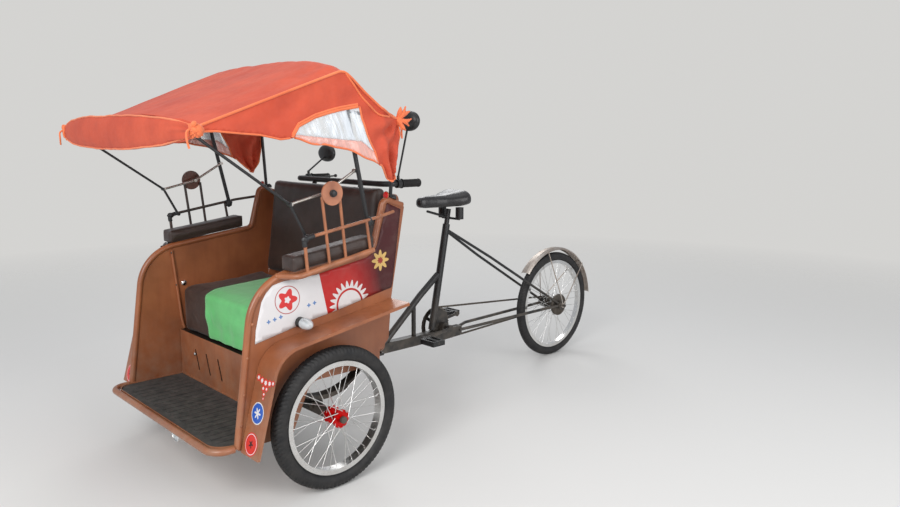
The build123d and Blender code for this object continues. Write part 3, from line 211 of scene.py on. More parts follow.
def vinyl(name, colour, light, gloss=0.42):
    """Leathercloth: fine pebbled grain, a little dust and rubbed lighter patches."""
    finish = Finish(name, colour, gloss, Sheen_Weight=0.08, Specular_IOR_Level=0.45)
    cells = finish.add("ShaderNodeTexVoronoi", Scale=620.0)
    finish.link(finish.place, cells.inputs["Vector"])
    rubbed = finish.band(finish.noise(7.0, 6.0), 0.4, 0.75)
    dust = finish.band(finish.noise(40.0, 8.0, 0.7), 0.5, 0.85)
    tone = finish.mix(finish.math("MULTIPLY", rubbed, 0.6), colour, light)
    finish.colour(finish.mix(finish.math("MULTIPLY", dust, 0.08), tone, (0.20, 0.16, 0.13)))
    finish.rough(finish.band(finish.noise(12.0, 5.0), 0.3, 0.75, gloss - 0.06, gloss + 0.16))
    finish.bump(cells.outputs["Distance"], 0.25, 0.0005)
    finish.bump(finish.noise(26.0, 4.0), 0.14, 0.003)
    return finish.material


def cloth(name, colour, dark, faded, weave=900.0, sheen=0.2, gloss=0.75):
    """Woven cloth: two crossed sets of threads, sun-faded and dirty patches."""
    finish = Finish(name, colour, gloss, Sheen_Weight=sheen, Sheen_Roughness=0.5)
    threads = []
    for index in (0, 1, 2):
        wave = finish.math("SINE", finish.math("MULTIPLY", finish.axis(index), weave * 2), 0)
        threads.append(finish.math("ABSOLUTE", wave, 0))
    woven = finish.math("MULTIPLY", finish.math("MAXIMUM", threads[0], threads[1]), threads[2])
    soil = finish.band(finish.noise(11.0, 7.0, 0.6), 0.42, 0.78)
    fade = finish.band(finish.noise(2.6, 4.0), 0.4, 0.68)
    tone = finish.mix(fade, colour, faded)
    tone = finish.mix(finish.math("MULTIPLY", soil, 0.45), tone, dark)
    finish.colour(finish.mix(finish.math("MULTIPLY", woven, 0.12), tone, dark))
    finish.rough(finish.band(finish.noise(60.0, 5.0), 0.3, 0.8, gloss - 0.08, gloss + 0.12))
    finish.bump(woven, 0.12, 0.0004)
    finish.bump(finish.noise(34.0, 5.0), 0.10, 0.003)
    return finish.material


def rubber(name, colour, dust_colour, dust=0.5, gloss=0.7):
    """Black rubber greyed by road dust."""
    finish = Finish(name, colour, gloss, Specular_IOR_Level=0.35)
    grey = finish.band(finish.noise(26.0, 8.0, 0.65), 0.35, 0.75)
    finish.colour(finish.mix(finish.math("MULTIPLY", grey, dust), colour, dust_colour))
    finish.rough(finish.band(finish.noise(48.0, 5.0), 0.3, 0.8, gloss - 0.1, gloss + 0.15))
    finish.bump(finish.noise(380.0, 4.0), 0.14, 0.0006)
    return finish.material


def plastic(name, colour, gloss=0.35, scuffed=(0.12, 0.12, 0.12)):
    """Moulded plastic with scuffs."""
    finish = Finish(name, colour, gloss)
    scuff = finish.band(finish.noise(90.0, 8.0, 0.75), 0.55, 0.8)
    finish.colour(finish.mix(finish.math("MULTIPLY", scuff, 0.3), colour, scuffed))
    finish.rough(finish.band(finish.noise(40.0, 5.0), 0.3, 0.8, gloss, gloss + 0.2))
    finish.bump(finish.noise(500.0, 3.0), 0.06, 0.0004)
    return finish.material


def see_through(name, colour, clearest, dullest):
    """Thin clear sheet with crinkles: white along its creases and nearly clear between them."""
    finish = Finish(name, colour, 0.12, Specular_IOR_Level=0.6)
    lean = finish.math("ADD", finish.axis(1), finish.math("MULTIPLY", finish.axis(2), 0.42))
    joined = finish.add("ShaderNodeCombineXYZ")
    finish.link(finish.math("MULTIPLY", lean, 34.0), joined.inputs[0])
    finish.link(finish.math("MULTIPLY", finish.axis(2), 4.0), joined.inputs[1])
    streak = finish.noise(1.0, 3.0, 0.6, joined.outputs[0])
    finish.link(finish.band(streak, 0.42, 0.56, clearest, dullest), finish.shader.inputs["Alpha"])
    finish.rough(finish.band(finish.noise(50.0, 5.0), 0.3, 0.8, 0.08, 0.3))
    finish.bump(streak, 0.5, 0.006)
    return finish.material


def banner_print():
    """A printed sheet: a pale field, a red one and a dark red one, with a flower, a sun and bars."""
    finish = Finish("banner_print", (0.64, 0.62, 0.62), 0.42, Specular_IOR_Level=0.35)
    y, z = finish.axis(1), finish.axis(2)
    lean = finish.math("MULTIPLY", finish.math("SUBTRACT", z, 0.70), 0.22)
    along = finish.math("ADD", y, lean)
    red = finish.band(along, AXLE_Y + 0.0035, AXLE_Y + 0.0045)
    dusk = finish.band(along, AXLE_Y + 0.13, AXLE_Y + 0.27)
    tone = finish.mix(red, (0.64, 0.62, 0.62), finish.mix(dusk, (0.46, 0.012, 0.010), (0.055, 0.007, 0.008)))
    sun_at, flower_at, star_at = (118, 652), (264, 800), (-146, 706)
    sun = finish.rosette(sun_at, 52, 1, 0)
    rays = finish.math("SUBTRACT", finish.rosette(sun_at, 78, 22, 12), finish.rosette(sun_at, 60, 1, 0))
    tone = finish.mix(finish.math("MAXIMUM", sun, rays), tone, (0.66, 0.63, 0.62))
    tone = finish.mix(finish.rosette(flower_at, 32, 8, 9), tone, (0.62, 0.40, 0.13))
    tone = finish.mix(finish.rosette(flower_at, 12, 8, 2), tone, (0.30, 0.03, 0.02))
    tone = finish.mix(finish.rosette(star_at, 32, 5, 8), tone, (0.55, 0.03, 0.03))
    tone = finish.mix(finish.rosette(star_at, 11, 5, 2), tone, (0.64, 0.62, 0.62))
    ring = finish.math("SUBTRACT", finish.rosette(star_at, 50, 1, 0), finish.rosette(star_at, 47, 1, 0))
    tone = finish.mix(ring, tone, (0.35, 0.04, 0.04))
    for middle in ((-222, 640), (-198, 645), (-174, 650), (-60, 674), (-36, 679)):
        tone = finish.mix(finish.rosette(middle, 6, 4, 2), tone, (0.10, 0.20, 0.42))
    soil = finish.band(finish.noise(14.0, 7.0, 0.6), 0.45, 0.8)
    finish.colour(finish.mix(finish.math("MULTIPLY", soil, 0.12), tone, (0.30, 0.26, 0.22)))
    finish.rough(finish.band(finish.noise(40.0, 5.0), 0.3, 0.8, 0.36, 0.56))
    finish.bump(finish.noise(18.0, 3.0), 0.12, 0.003)
    return finish.material


def strut_paint():
    """Black rods, bare steel on the run from the front knuckle over the disc."""
    finish = Finish("strut_paint", BLACK, 0.32)
    light = finish.math(
        "MULTIPLY",
        finish.band(finish.axis(1), AXLE_Y - 0.150, AXLE_Y - 0.147),
        finish.band(finish.axis(2), 1.034, 1.037),
    )
    dull = finish.band(finish.noise(60.0, 6.0, 0.7), 0.4, 0.7)
    steel = finish.mix(dull, (0.52, 0.50, 0.47), (0.30, 0.25, 0.21))
    finish.colour(finish.mix(light, BLACK, steel))
    finish.metal(finish.band(light, 0, 1, 0, 0.85))
    finish.bump(finish.noise(300.0, 4.0), 0.05, 0.0006)
    return finish.material


def far_side_shaded(name, near, near_dark, far, far_shaded_dark, gloss=0.35):
    """Paint in lit colours on the near side of the cabin and in darker painted shade colours on the far side.
    """
    finish = Finish(name, near, gloss, Coat_Weight=0.2, Coat_Roughness=0.2)
    blotch = finish.band(finish.noise(14.0, 6.0), 0.35, 0.7)
    # Painted shade: towards the far side (x below 0) the colour turns to the far, shaded colours.
    side = finish.band(finish.axis(0), -0.2, 0.2)
    finish.colour(finish.mix(side, finish.mix(blotch, far, far_shaded_dark), finish.mix(blotch, near, near_dark)))
    finish.rough(finish.band(finish.noise(30.0, 6.0), 0.3, 0.8, gloss, gloss + 0.22))
    finish.bump(finish.noise(60.0, 4.0), 0.12, 0.001)
    return finish.material


BROWN = (0.335, 0.112, 0.042)
BROWN_DARK = (0.20, 0.060, 0.022)
BROWN_CHIP = (0.62, 0.34, 0.20)
BLACK = (0.012, 0.012, 0.013)

brown_paint = paint("brown_paint", BROWN, BROWN_DARK, BROWN_CHIP)
# The seat box's paint: near black behind its slotted front, as painted shade in the slots.
slotted_paint = paint("slotted_paint", BROWN, BROWN_DARK, BROWN_CHIP, shade_from=AXLE_Y - 0.1335)
# Rails and hood discs: lit colours on the near side, painted shade colours on the far side.
rail_paint = far_side_shaded(
    "rail_paint", (0.36, 0.13, 0.055), (0.20, 0.07, 0.03), (0.05, 0.028, 0.02), (0.02, 0.014, 0.012)
)
disc_paint = far_side_shaded(
    "disc_paint", (0.42, 0.165, 0.085), (0.26, 0.09, 0.045), (0.16, 0.055, 0.03), (0.08, 0.03, 0.02)
)
black_paint = paint("black_paint", BLACK, (0.006, 0.006, 0.006), (0.20, 0.17, 0.15), 0.34, 0.0015, 0.0)
under_paint = paint(
    "under_paint", (0.02, 0.019, 0.018), (0.035, 0.025, 0.02), (0.16, 0.10, 0.07), 0.55, 0.002
)
chrome = metal("chrome", (0.78, 0.78, 0.77), (0.34, 0.27, 0.21), 0.14, 0.3)
spoke_steel = metal("spoke_steel", (0.70, 0.70, 0.69), (0.33, 0.27, 0.22), 0.22, 0.3)
red_anodised = metal("red_anodised", (0.62, 0.02, 0.02), (0.25, 0.01, 0.01), 0.28, 0.25)
oiled_steel = metal("oiled_steel", (0.16, 0.14, 0.12), (0.05, 0.035, 0.025), 0.42, 0.7)
brown_vinyl = vinyl("brown_vinyl", (0.030, 0.017, 0.013), (0.058, 0.034, 0.026))
black_vinyl = vinyl("black_vinyl", (0.014, 0.013, 0.014), (0.032, 0.030, 0.031), 0.36)
hood_cloth = cloth(
    "hood_cloth", (0.52, 0.062, 0.024), (0.32, 0.030, 0.014), (0.60, 0.088, 0.036), 900.0, 0.05
)
green_cloth = cloth("green_cloth", (0.10, 0.47, 0.13), (0.05, 0.30, 0.08), (0.15, 0.55, 0.19), 700.0, 0.3)
tyre_rubber = rubber("tyre_rubber", (0.010, 0.010, 0.011), (0.070, 0.062, 0.054), 0.3, 0.58)
mat_rubber = rubber("mat_rubber", (0.035, 0.034, 0.033), (0.12, 0.11, 0.10), 0.6, 0.78)
grip_rubber = rubber("grip_rubber", (0.012, 0.012, 0.012), (0.06, 0.055, 0.05), 0.3, 0.6)
black_plastic = plastic("black_plastic", (0.012, 0.012, 0.012))
piping_cloth = cloth("piping_cloth", (0.72, 0.15, 0.045), (0.48, 0.08, 0.03), (0.80, 0.22, 0.08), 1200.0)
clear_sheet = see_through("clear_sheet", (0.74, 0.78, 0.82), 0.14, 0.80)
band_sheet = see_through("band_sheet", (0.78, 0.42, 0.36), 0.62, 0.94)
banner_sheet = banner_print()
strut_finish = strut_paint()
mirror_glass = metal("mirror_glass", (0.80, 0.82, 0.84), (0.60, 0.62, 0.64), 0.04, 0.1)
dull_alloy = metal("dull_alloy", (0.56, 0.52, 0.48), (0.28, 0.19, 0.13), 0.34, 0.75)
lens_clear = see_through("lens_clear", (0.66, 0.70, 0.72), 0.35, 0.70)
white_sticker = plastic("white_sticker", (0.66, 0.66, 0.66), 0.3, (0.45, 0.42, 0.38))
blue_sticker = plastic("blue_sticker", (0.015, 0.09, 0.42), 0.3, (0.10, 0.16, 0.36))
red_sticker = plastic("red_sticker", (0.60, 0.03, 0.022), 0.3, (0.40, 0.10, 0.08))
black_tape = plastic("black_tape", (0.014, 0.014, 0.015), 0.42, (0.05, 0.05, 0.05))
red_reflector = plastic("red_reflector", (0.55, 0.012, 0.010), 0.12, (0.40, 0.05, 0.04))
saddle_skin = vinyl("saddle_skin", (0.013, 0.012, 0.013), (0.030, 0.029, 0.030), 0.26)

NODE_FINISH = (
    (brown_paint, "back_board floor_tray front_fenders side_panel_left side_panel_right"),
    (slotted_paint, "seat_box"),
    (rail_paint, "guard_rails"),
    (disc_paint, "hood_discs"),
    (strut_finish, "hood_struts"),
    (black_paint, "crankset hood_bows push_bar rear_frame rear_hub seat_post"),
    (under_paint, "front_axle leaf_springs underframe"),
    (black_plastic, "brake_levers mirrors pedal_left pedal_right signal_bases hood_windows"),
    (chrome, "headlamp rear_rim signal_lenses"),
    (spoke_steel, "front_left_rim front_right_rim"),
    (red_anodised, "front_left_hub front_right_hub"),
    (dull_alloy, "rear_fender"),
    (oiled_steel, "chain rear_drum"),
    (tyre_rubber, "front_left_tyre front_right_tyre rear_tyre"),
    (mat_rubber, "floor_mat"),
    (grip_rubber, "grips"),
    (black_vinyl, "saddle"),
    (brown_vinyl, "arm_pads back_rest seat_cushion"),
    (green_cloth, "seat_cloth"),
    (hood_cloth, "hood_cover hood_valance"),
)
for material, names in NODE_FINISH:
    for name in names.split():
        shape = nodes[name]
        shape.data.materials.clear()
        shape.data.materials.append(material)


# Shapes. Points are given in millimetres, as in the part: x left, y behind the front axle, z up.
def at(x, y, z):
    """A point's place in the frame, in metres."""
    return Vector((x / 1000, y / 1000 + AXLE_Y, z / 1000))


def turns(count):
    """Angles evenly round a circle."""
    return [2 * math.pi * step / count for step in range(count)]


def eased(value):
    """A share from 0 to 1, leaving and arriving gently."""
    share = min(max(value, 0.0), 1.0)
    return share * share * (3 - 2 * share)


def between(table, value):
    """The second column of a table at a value of the first, along straight runs."""
    for (low, first), (high, second) in zip(table, table[1:]):
        if value <= high:
            share = (value - low) / (high - low)
            return first + (second - first) * max(share, 0.0)
    return table[-1][1]


def walked(corners, step, closed=False):
    """Points along straight runs between corners, a step or so apart."""
    ends = [*corners, corners[0]] if closed else corners
    spots = []
    for start, end in zip(ends, ends[1:]):
        first, last = Vector(start), Vector(end)
        parts = max(1, round((last - first).length / step))
        spots += [first.lerp(last, part / parts) for part in range(parts)]
    return spots if closed else [*spots, Vector(ends[-1])]


def curve_through(knots, parts=8, closed=False):
    """A smooth line through points."""
    count = len(knots)
    line = []
    for index in range(count if closed else count - 1):
        picks = [index + shift for shift in (-1, 0, 1, 2)]
        picks = [pick % count if closed else min(max(pick, 0), count - 1) for pick in picks]
        before, start, end, after = (knots[pick] for pick in picks)
        for part in range(parts):
            t = part / parts
            pull = (end - before) * t + (2 * before - 5 * start + 4 * end - after) * t**2
            line.append(start + (pull + (3 * start - before - 3 * end + after) * t**3) / 2)
    return line if closed else [*line, knots[-1].copy()]


def circle(middle, side, up, radius, sides):
    """Points round a circle across two unit vectors, its radius in millimetres."""
    reach = radius / 1000
    return [middle + (side * math.cos(turn) + up * math.sin(turn)) * reach for turn in turns(sides)]


def oval(x, y, z, half_w, half_h, sides=40):
    """Points round an upright oval seen from the front."""
    return [at(x + half_w * math.cos(turn), y, z + half_h * math.sin(turn)) for turn in turns(sides)]


def placed(name, mesh, material, body="cabin"):
    """An object of a mesh and a material, riding on a body."""
    mesh.materials.append(material)
    shape = bpy.data.objects.new(name, mesh)
    bpy.context.scene.collection.objects.link(shape)
    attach(shape, body)
    return shape


class Shape:
    """Points and faces gathered for one mesh piece."""

    def __init__(self):
        self.points = []
        self.faces = []

    def grid(self, rows, wrap_along=False, wrap_across=False):
        """A net of faces over rows of points."""
        first, width = len(self.points), len(rows[0])
        for row in rows:
            self.points.extend(row)
        for i in range(len(rows) if wrap_along else len(rows) - 1):
            near, far = first + i * width, first + (i + 1) % len(rows) * width
            for j in range(width if wrap_across else width - 1):
                k = (j + 1) % width
                self.faces.append((near + j, near + k, far + k, far + j))
        return first

    def caps(self, first, sides):
        """Flat ends on the first and the last ring of a net."""
        last = len(self.points) - sides
        self.faces.append(tuple(range(first, first + sides)))
        self.faces.append(tuple(range(last, last + sides)))

    def pipe(self, line, radius, sides=8, closed=False):
        """A round tube along a line of points, its radius in millimetres."""
        rings = []
        side = None
        for index, point in enumerate(line):
            ahead = line[(index + 1) % len(line)] if closed else line[min(index + 1, len(line) - 1)]
            behind = line[index - 1] if closed or index else point
            along = (ahead - behind).normalized()
            if side is None:
                side = along.orthogonal().normalized()
            side = (side - along * side.dot(along)).normalized()
            up = along.cross(side)
            reach = radius[index] if isinstance(radius, list) else radius
            rings.append(circle(point, side, up, reach, sides))
        first = self.grid(rings, closed, True)
        if not closed:
            self.caps(first, sides)

    def turned(self, profile, start, along, sides=32):
        """A turned shape: each row is a distance along the axis and the radius there, in millimetres."""
        along = Vector(along).normalized()
        side = along.orthogonal().normalized()
        up = along.cross(side)
        rings = []
        for distance, radius in profile:
            middle = start + along * distance / 1000
            rings.append(circle(middle, side, up, radius, sides))
        self.caps(self.grid(rings, False, True), sides)

    def piece(self, name, material, body="cabin", crease=35, closed=True):
        """The mesh piece, riding on a body."""
        mesh = bpy.data.meshes.new(name)
        mesh.from_pydata([tuple(point) for point in self.points], [], self.faces)
        if closed:
            net = bmesh.new()
            net.from_mesh(mesh)
            bmesh.ops.remove_doubles(net, verts=net.verts, dist=1e-6)
            bmesh.ops.recalc_face_normals(net, faces=net.faces)
            net.to_mesh(mesh)
            net.free()
        mesh.shade_smooth()
        mesh.set_sharp_from_angle(angle=math.radians(crease))
        return placed(name, mesh, material, body)


def settled(shape):
    """Makes what a piece's modifiers show its own mesh."""
    seen = shape.evaluated_get(bpy.context.evaluated_depsgraph_get())
    mesh = bpy.data.meshes.new_from_object(seen)
    shape.modifiers.clear()
    shape.data = mesh


def thickened(shape, thickness):
    """Gives a sheet its thickness, in millimetres."""
    thick = shape.modifiers.new("thickness", "SOLIDIFY")
    thick.thickness = thickness / 1000
    thick.offset = 0.0
    settled(shape)


SWELL_PRESSURE = 4.0
SWELL_FRAMES = 20


def swollen(shape, voxel, cap, softness=1):
    """Blows a closed piece up as cloth under pressure, no point moving further than the cap."""
    voxels = shape.modifiers.new("voxels", "REMESH")
    voxels.mode = "VOXEL"
    voxels.voxel_size = voxel / 1000
    settled(shape)
    rest = [vertex.co.copy() for vertex in shape.data.vertices]
    cloth = shape.modifiers.new("cloth", "CLOTH")
    cloth.settings.use_pressure = True
    cloth.settings.uniform_pressure_force = SWELL_PRESSURE
    cloth.settings.effector_weights.gravity = 0.0
    cloth.settings.quality = 4
    cloth.point_cache.frame_start = 1
    cloth.point_cache.frame_end = SWELL_FRAMES
    for moment in range(1, SWELL_FRAMES + 1):
        bpy.context.scene.frame_set(moment)
    settled(shape)
    for vertex, start in zip(shape.data.vertices, rest):
        move = vertex.co - start
        if move.length > cap / 1000:
            vertex.co = start + move.normalized() * cap / 1000
    bpy.context.scene.frame_set(1)
    smooth = shape.modifiers.new("softness", "SMOOTH")
    smooth.iterations = 4 * softness
    smooth.factor = 0.5
    settled(shape)
    finer = shape.modifiers.new("finer", "SUBSURF")
    finer.levels = finer.render_levels = 1
    settled(shape)
    shape.data.shade_smooth()


def block(name, corners, bevel, material, body="cabin"):
    """A closed box between eight corners, its edges rounded. The corners' last changes fastest."""
    net = bmesh.new()
    spots = [net.verts.new(corner) for corner in corners]
    for face in ((0, 1, 3, 2), (4, 6, 7, 5), (0, 4, 5, 1), (2, 3, 7, 6), (0, 2, 6, 4), (1, 5, 7, 3)):
        net.faces.new([spots[index] for index in face])
    bmesh.ops.recalc_face_normals(net, faces=net.faces)
    bmesh.ops.bevel(net, geom=net.edges, offset=bevel / 1000, segments=4, profile=0.5, affect="EDGES")
    mesh = bpy.data.meshes.new(name)
    net.to_mesh(mesh)
    net.free()
    return placed(name, mesh, material, body)


def skin(shape):
    """A piece's surface, for laying other pieces on it."""
    return BVHTree.FromObject(shape, bpy.context.evaluated_depsgraph_get())


def inside(spot, loop):
    """Whether a flat point lies within a closed loop."""
    crossings = 0
    for (x0, y0), (x1, y1) in zip(loop, [*loop[1:], loop[0]]):
        if (y0 > spot[1]) != (y1 > spot[1]) and spot[0] < x0 + (spot[1] - y0) * (x1 - x0) / (y1 - y0):
            crossings += 1
    return crossings % 2 == 1


def cut_cloth(outline, holes, seams, step, place):
    """A sheet cut flat along its outline, its holes left out, each flat point then put in place."""
    spots, edges = [], []
    lines = [(outline, True), *((hole, True) for hole in holes), *((seam, False) for seam in seams)]
    for line, closed in lines:
        first = len(spots)
        spots.extend(line)
        edges.extend((first + k, first + k + 1) for k in range(len(line) - 1))
        if closed:
            edges.append((len(spots) - 1, first))
    marks = KDTree(len(spots))
    for index, (u, v) in enumerate(spots):
        marks.insert((u, v, 0), index)
    marks.balance()
    low_u, high_u = min(u for u, v in outline), max(u for u, v in outline)
    low_v, high_v = min(v for u, v in outline), max(v for u, v in outline)
    for row in range(int((high_v - low_v) / step) + 1):
        for column in range(int((high_u - low_u) / step) + 1):
            spot = (low_u + (column + row % 2 / 2) * step, low_v + row * step)
            if marks.find((*spot, 0))[2] > 0.6 * step and inside(spot, outline):
                spots.append(spot)
    corners = [Vector(spot) for spot in spots]
    flat, _, triangles = geometry.delaunay_2d_cdt(corners, edges, [], 0, 0.01, False)[:3]
    sheet = Shape()
    sheet.points = [place(u, v) for u, v in flat]
    for triangle in triangles:
        middle = sum((flat[index] for index in triangle), Vector((0, 0))) / len(triangle)
        if inside(middle, outline) and not any(inside(middle, hole) for hole in holes):
            sheet.faces.append(tuple(triangle))
    return sheet


SIDES = (("left", 1), ("right", -1))

# Hood: one cloth from hem to hem over two bows, gathered at its rear corners.
HOOD_ARCH = 550.0
HOOD_FRONT = -476.0
HOOD_PEAK = 50.0
HOOD_REAR = 328.0
HOOD_WIDE = [(228, 545), (282, 520), (328, 505)]
HOOD_SIDE = [
    (-476.6, 1292), (-159, 1411), (38, 1484), (62, 1482), (87, 1465),
    (143, 1419), (216, 1367), (289, 1337), (328, 1329),
]
HOOD_CROWN = [
    (-476.6, 1338), (38, 1543), (62, 1542), (90, 1525), (143, 1484), (216, 1436), (289, 1407), (328, 1396),
]
HOOD_HEM = [
    (HOOD_FRONT, 1278), (-423, 1280), (-341, 1274), (-272, 1270), (-200, 1256), (-164, 1260), (-52, 1237),
    (33, 1229), (121, 1202), (198, 1168), (218, 1164), (252, 1124), (272, 1106), (285, 1101), (295, 1112),
    (310, 1152), (320, 1200), (HOOD_REAR, 1262),
]
HOOD_OPENING = [
    (-152, 1268), (-131, 1299), (-66, 1329), (-16, 1344), (36, 1357), (117, 1371), (127, 1331), (151, 1274),
    (188, 1212), (206, 1150), (-40, 1190), (-166, 1236),
]
CLEAR_LINE = [(-146, 1272), (-35, 1262), (51, 1255), (128, 1250), (184, 1212)]


def rounded(table, y):
    """A height of the hood at y, rounded a little where it bends over the bow."""
    return sum(between(table, y + shift) for shift in (-7, 0, 7)) / 3


def hood_ripple(y, s):
    """How far the cloth stands out of its plain form, in millimetres."""
    off_seam = min(1.0, abs(abs(s) - HOOD_ARCH) / 40)
    flip = 1 if s > 0 else 7
    if abs(s) <= HOOD_ARCH:
        front_run = (y - HOOD_FRONT) / (HOOD_PEAK - HOOD_FRONT)
        share = front_run if y < HOOD_PEAK else (HOOD_REAR - y) / (HOOD_REAR - HOOD_PEAK)
        sag = -8 * math.sin(math.pi * min(max(share, 0), 1)) * (1 - (s / HOOD_ARCH) ** 4)
        soft = 3.4 * noise.noise(Vector((y / 240, s / 80, 3)))
        soft += 1.6 * noise.noise(Vector((y / 110, s / 34, 9)))
        pulled = 2.4 * math.sin(s / 15 + y / 60) * eased((abs(s) - 380) / 140) * eased((y + 300) / 300)
        return (sag + soft + pulled) * off_seam * min(1.0, (y - HOOD_FRONT) / 60, (HOOD_REAR - y) / 18 + 0.2)
    depth = abs(s) - HOOD_ARCH
    z = rounded(HOOD_SIDE, y) - depth
    soft = 5 * noise.noise(Vector((y / 150, depth / 70, flip)))
    soft += 2 * noise.noise(Vector((y / 50, depth / 42, flip + 4)))
    drag = 2.6 * math.sin((z - 0.34 * y) / 13) * eased((y + 80) / 200) * eased(1 - depth / 170)
    corner, reach = math.atan2(z - 1338, y - 338), math.hypot(z - 1338, y - 338)
    fan = 10 * math.sin(corner * 11 + 2) * eased((reach - 12) / 60)
    fan *= eased((230 - reach) / 120) * eased((y - 120) / 90)
    tip, height = math.atan2(y - 292, z - 1070), math.hypot(y - 292, z - 1070)
    fall = 16 * math.sin(tip * 15 + 1) * eased((height - 10) / 50)
    fall *= eased((250 - height) / 130) * eased((y - 205) / 40)
    tuck = tuck_depth(y)
    groove = -7 * math.sin(math.pi * min(depth / tuck, 1)) if tuck > 1 else 0.0
    return (soft + drag + fan + fall) * off_seam + groove


def tuck_depth(y):
    """How far below the side seam the pulled fold runs between the main bow and the rear tie."""
    return 30 * math.sin(math.pi * min(max((y - HOOD_PEAK - 8) / 225, 0.0), 1.0))


def hood(y, s, lift=0.0):
    """The hood's cloth: s runs across it, 0 on the crown and HOOD_ARCH at the side seam."""
    side, crown, half = rounded(HOOD_SIDE, y), rounded(HOOD_CROWN, y), between(HOOD_WIDE, y)
    out = hood_ripple(y, s) + lift
    if abs(s) > HOOD_ARCH:
        return at(math.copysign(half + out, s), y, side - (abs(s) - HOOD_ARCH))
    across, flat = s / HOOD_ARCH, 2 + 2 * eased((y - HOOD_FRONT) / 420)
    fall = flat * (crown - side) / half * math.copysign(abs(across) ** (flat - 1), across)
    tilt = math.hypot(fall, 1)
    rise = (crown - side) * (1 - abs(across) ** flat)
    return at(half * across + out * fall / tilt, y, side + rise + out / tilt)


def hood_flat(line):
    """Places on the near skirt, given as y and z, on the flat cut."""
    return [(y, HOOD_ARCH + rounded(HOOD_SIDE, y) - z) for y, z in line]


def mirrored(line):
    """The same line on the far skirt."""
    return [(u, -v) for u, v in line]


def hood_pieces():
    """The hood's cloth, its clear windows with their hanging lower bands, and its piping."""
    hem = hood_flat([tuple(spot) for spot in walked(HOOD_HEM, 9)])
    opening = hood_flat([tuple(spot) for spot in walked(HOOD_OPENING, 7, True)])
    rear = [(HOOD_REAR, hem[-1][1] - step * 10) for step in range(1, int(2 * hem[-1][1] / 10))]
    front = [(HOOD_FRONT, -hem[0][1] + step * 10) for step in range(1, int(2 * hem[0][1] / 10))]
    outline = [*hem, *rear, *mirrored(hem[::-1]), *front]
    seams = [[(HOOD_FRONT + 2 + step * 9.9, side * HOOD_ARCH) for step in range(82)] for side in (1, -1)]
    cloth_piece = cut_cloth(outline, [opening, mirrored(opening)], seams, 10, hood)
    cover = cloth_piece.piece("hood_canopy", hood_cloth, crease=55, closed=False)
    thickened(cover, 2.2)
    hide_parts("hood_cover")

    hanging = hood_flat([(y, between(HOOD_HEM, y) + 2 - 3 * math.sin(y / 17)) for y in range(-146, 202, 7)])
    trim = Shape()
    cut_line = [spot for spot in opening if spot[1] < between(hem, spot[0]) - 1]
    start = max(range(len(opening)), key=lambda k: opening[k][1] - between(hem, opening[k][0]))
    order = [opening[(start + k) % len(opening)] for k in range(len(opening))]
    edge = [spot for spot in order if spot in cut_line]
    for flip in (1, -1):
        top = [spot for spot in edge if spot[0] < 117]
        trim.pipe([hood(u, flip * v, 0.5) for u, v in top], 5.4)
        trim.pipe([hood(u, flip * (v - 8), 0.5) for u, v in top], 4.4)
        trim.pipe([hood(u, flip * v, 1.0) for u, v in edge if u >= 112], 3.6)
        seam = [hood(HOOD_FRONT + step * 9, flip * HOOD_ARCH, 1.5) for step in range(90)]
        trim.pipe([point + Vector((flip * 0.001, 0, 0.0005)) for point in seam], 4.4)
        fold = [HOOD_PEAK + 12 + step * 8 for step in range(27)]
        trim.pipe([hood(u, flip * (HOOD_ARCH + tuck_depth(u)), 1.5) for u in fold], 3.8)
        trim.pipe([hood(u, flip * v, 1.0) for u, v in hanging], 3.6)
        before = [spot for spot in hem if spot[0] < -158]
        behind = [spot for spot in hem if spot[0] > 200]
        for part in (before, behind):
            trim.pipe([hood(u, flip * v) for u, v in part], 3.4)
    trim.pipe([hood(u, v) for u, v in [hem[-1], *rear, mirrored([hem[-1]])[0]]], 3.4)
    piping = trim.piece("hood_piping", piping_cloth)

    for name, flip in SIDES:
        lower = hood_flat([tuple(spot) for spot in walked(CLEAR_LINE, 7)])
        top = hood_flat([tuple(spot) for spot in walked(HOOD_OPENING[:9], 7)])
        pane_loop = [(u, flip * v) for u, v in [*top[::-1], *lower]]
        pane = cut_cloth(pane_loop[::flip], [], [], 9, lambda u, v: hood(u, v, -1 + crinkle(u, v)))
        window = pane.piece("hood_window_" + name, clear_sheet, crease=80, closed=False)
        band_loop = [(u, flip * v) for u, v in [*lower, *hanging[::-1]]]
        band = cut_cloth(band_loop[::flip], [], [], 9, lambda u, v: hood(u, v, 1.5 * crinkle(u, v)))
        strip = band.piece("hood_window_band_" + name, band_sheet, crease=80, closed=False)
        thickened(strip, 1.2)
        thickened(window, 0.8)
    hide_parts("hood_windows")


def crinkle(u, v):
    """Sharp shallow creases of clear sheet, in millimetres."""
    bend = noise.noise(Vector((u / 26, v / 90, 5))) + 0.6 * noise.noise(Vector((u / 11, v / 60, 2)))
    return 4.5 * abs(bend)


# Front roll: the hood's spare cloth rolled up between two knots.
ROLL_Y = -502.0
ROLL_NEAR = 588.0
ROLL_FAR = -600.0
ROLL_SIZE = [
    (0, 0.13), (0.012, 0.2), (0.03, 0.33), (0.08, 0.5), (0.185, 0.71), (0.3, 0.86), (0.42, 0.96), (0.55, 1.0),
    (0.72, 0.98), (0.82, 0.9), (0.9, 0.78), (0.95, 0.6), (0.98, 0.4), (1, 0.16),
]


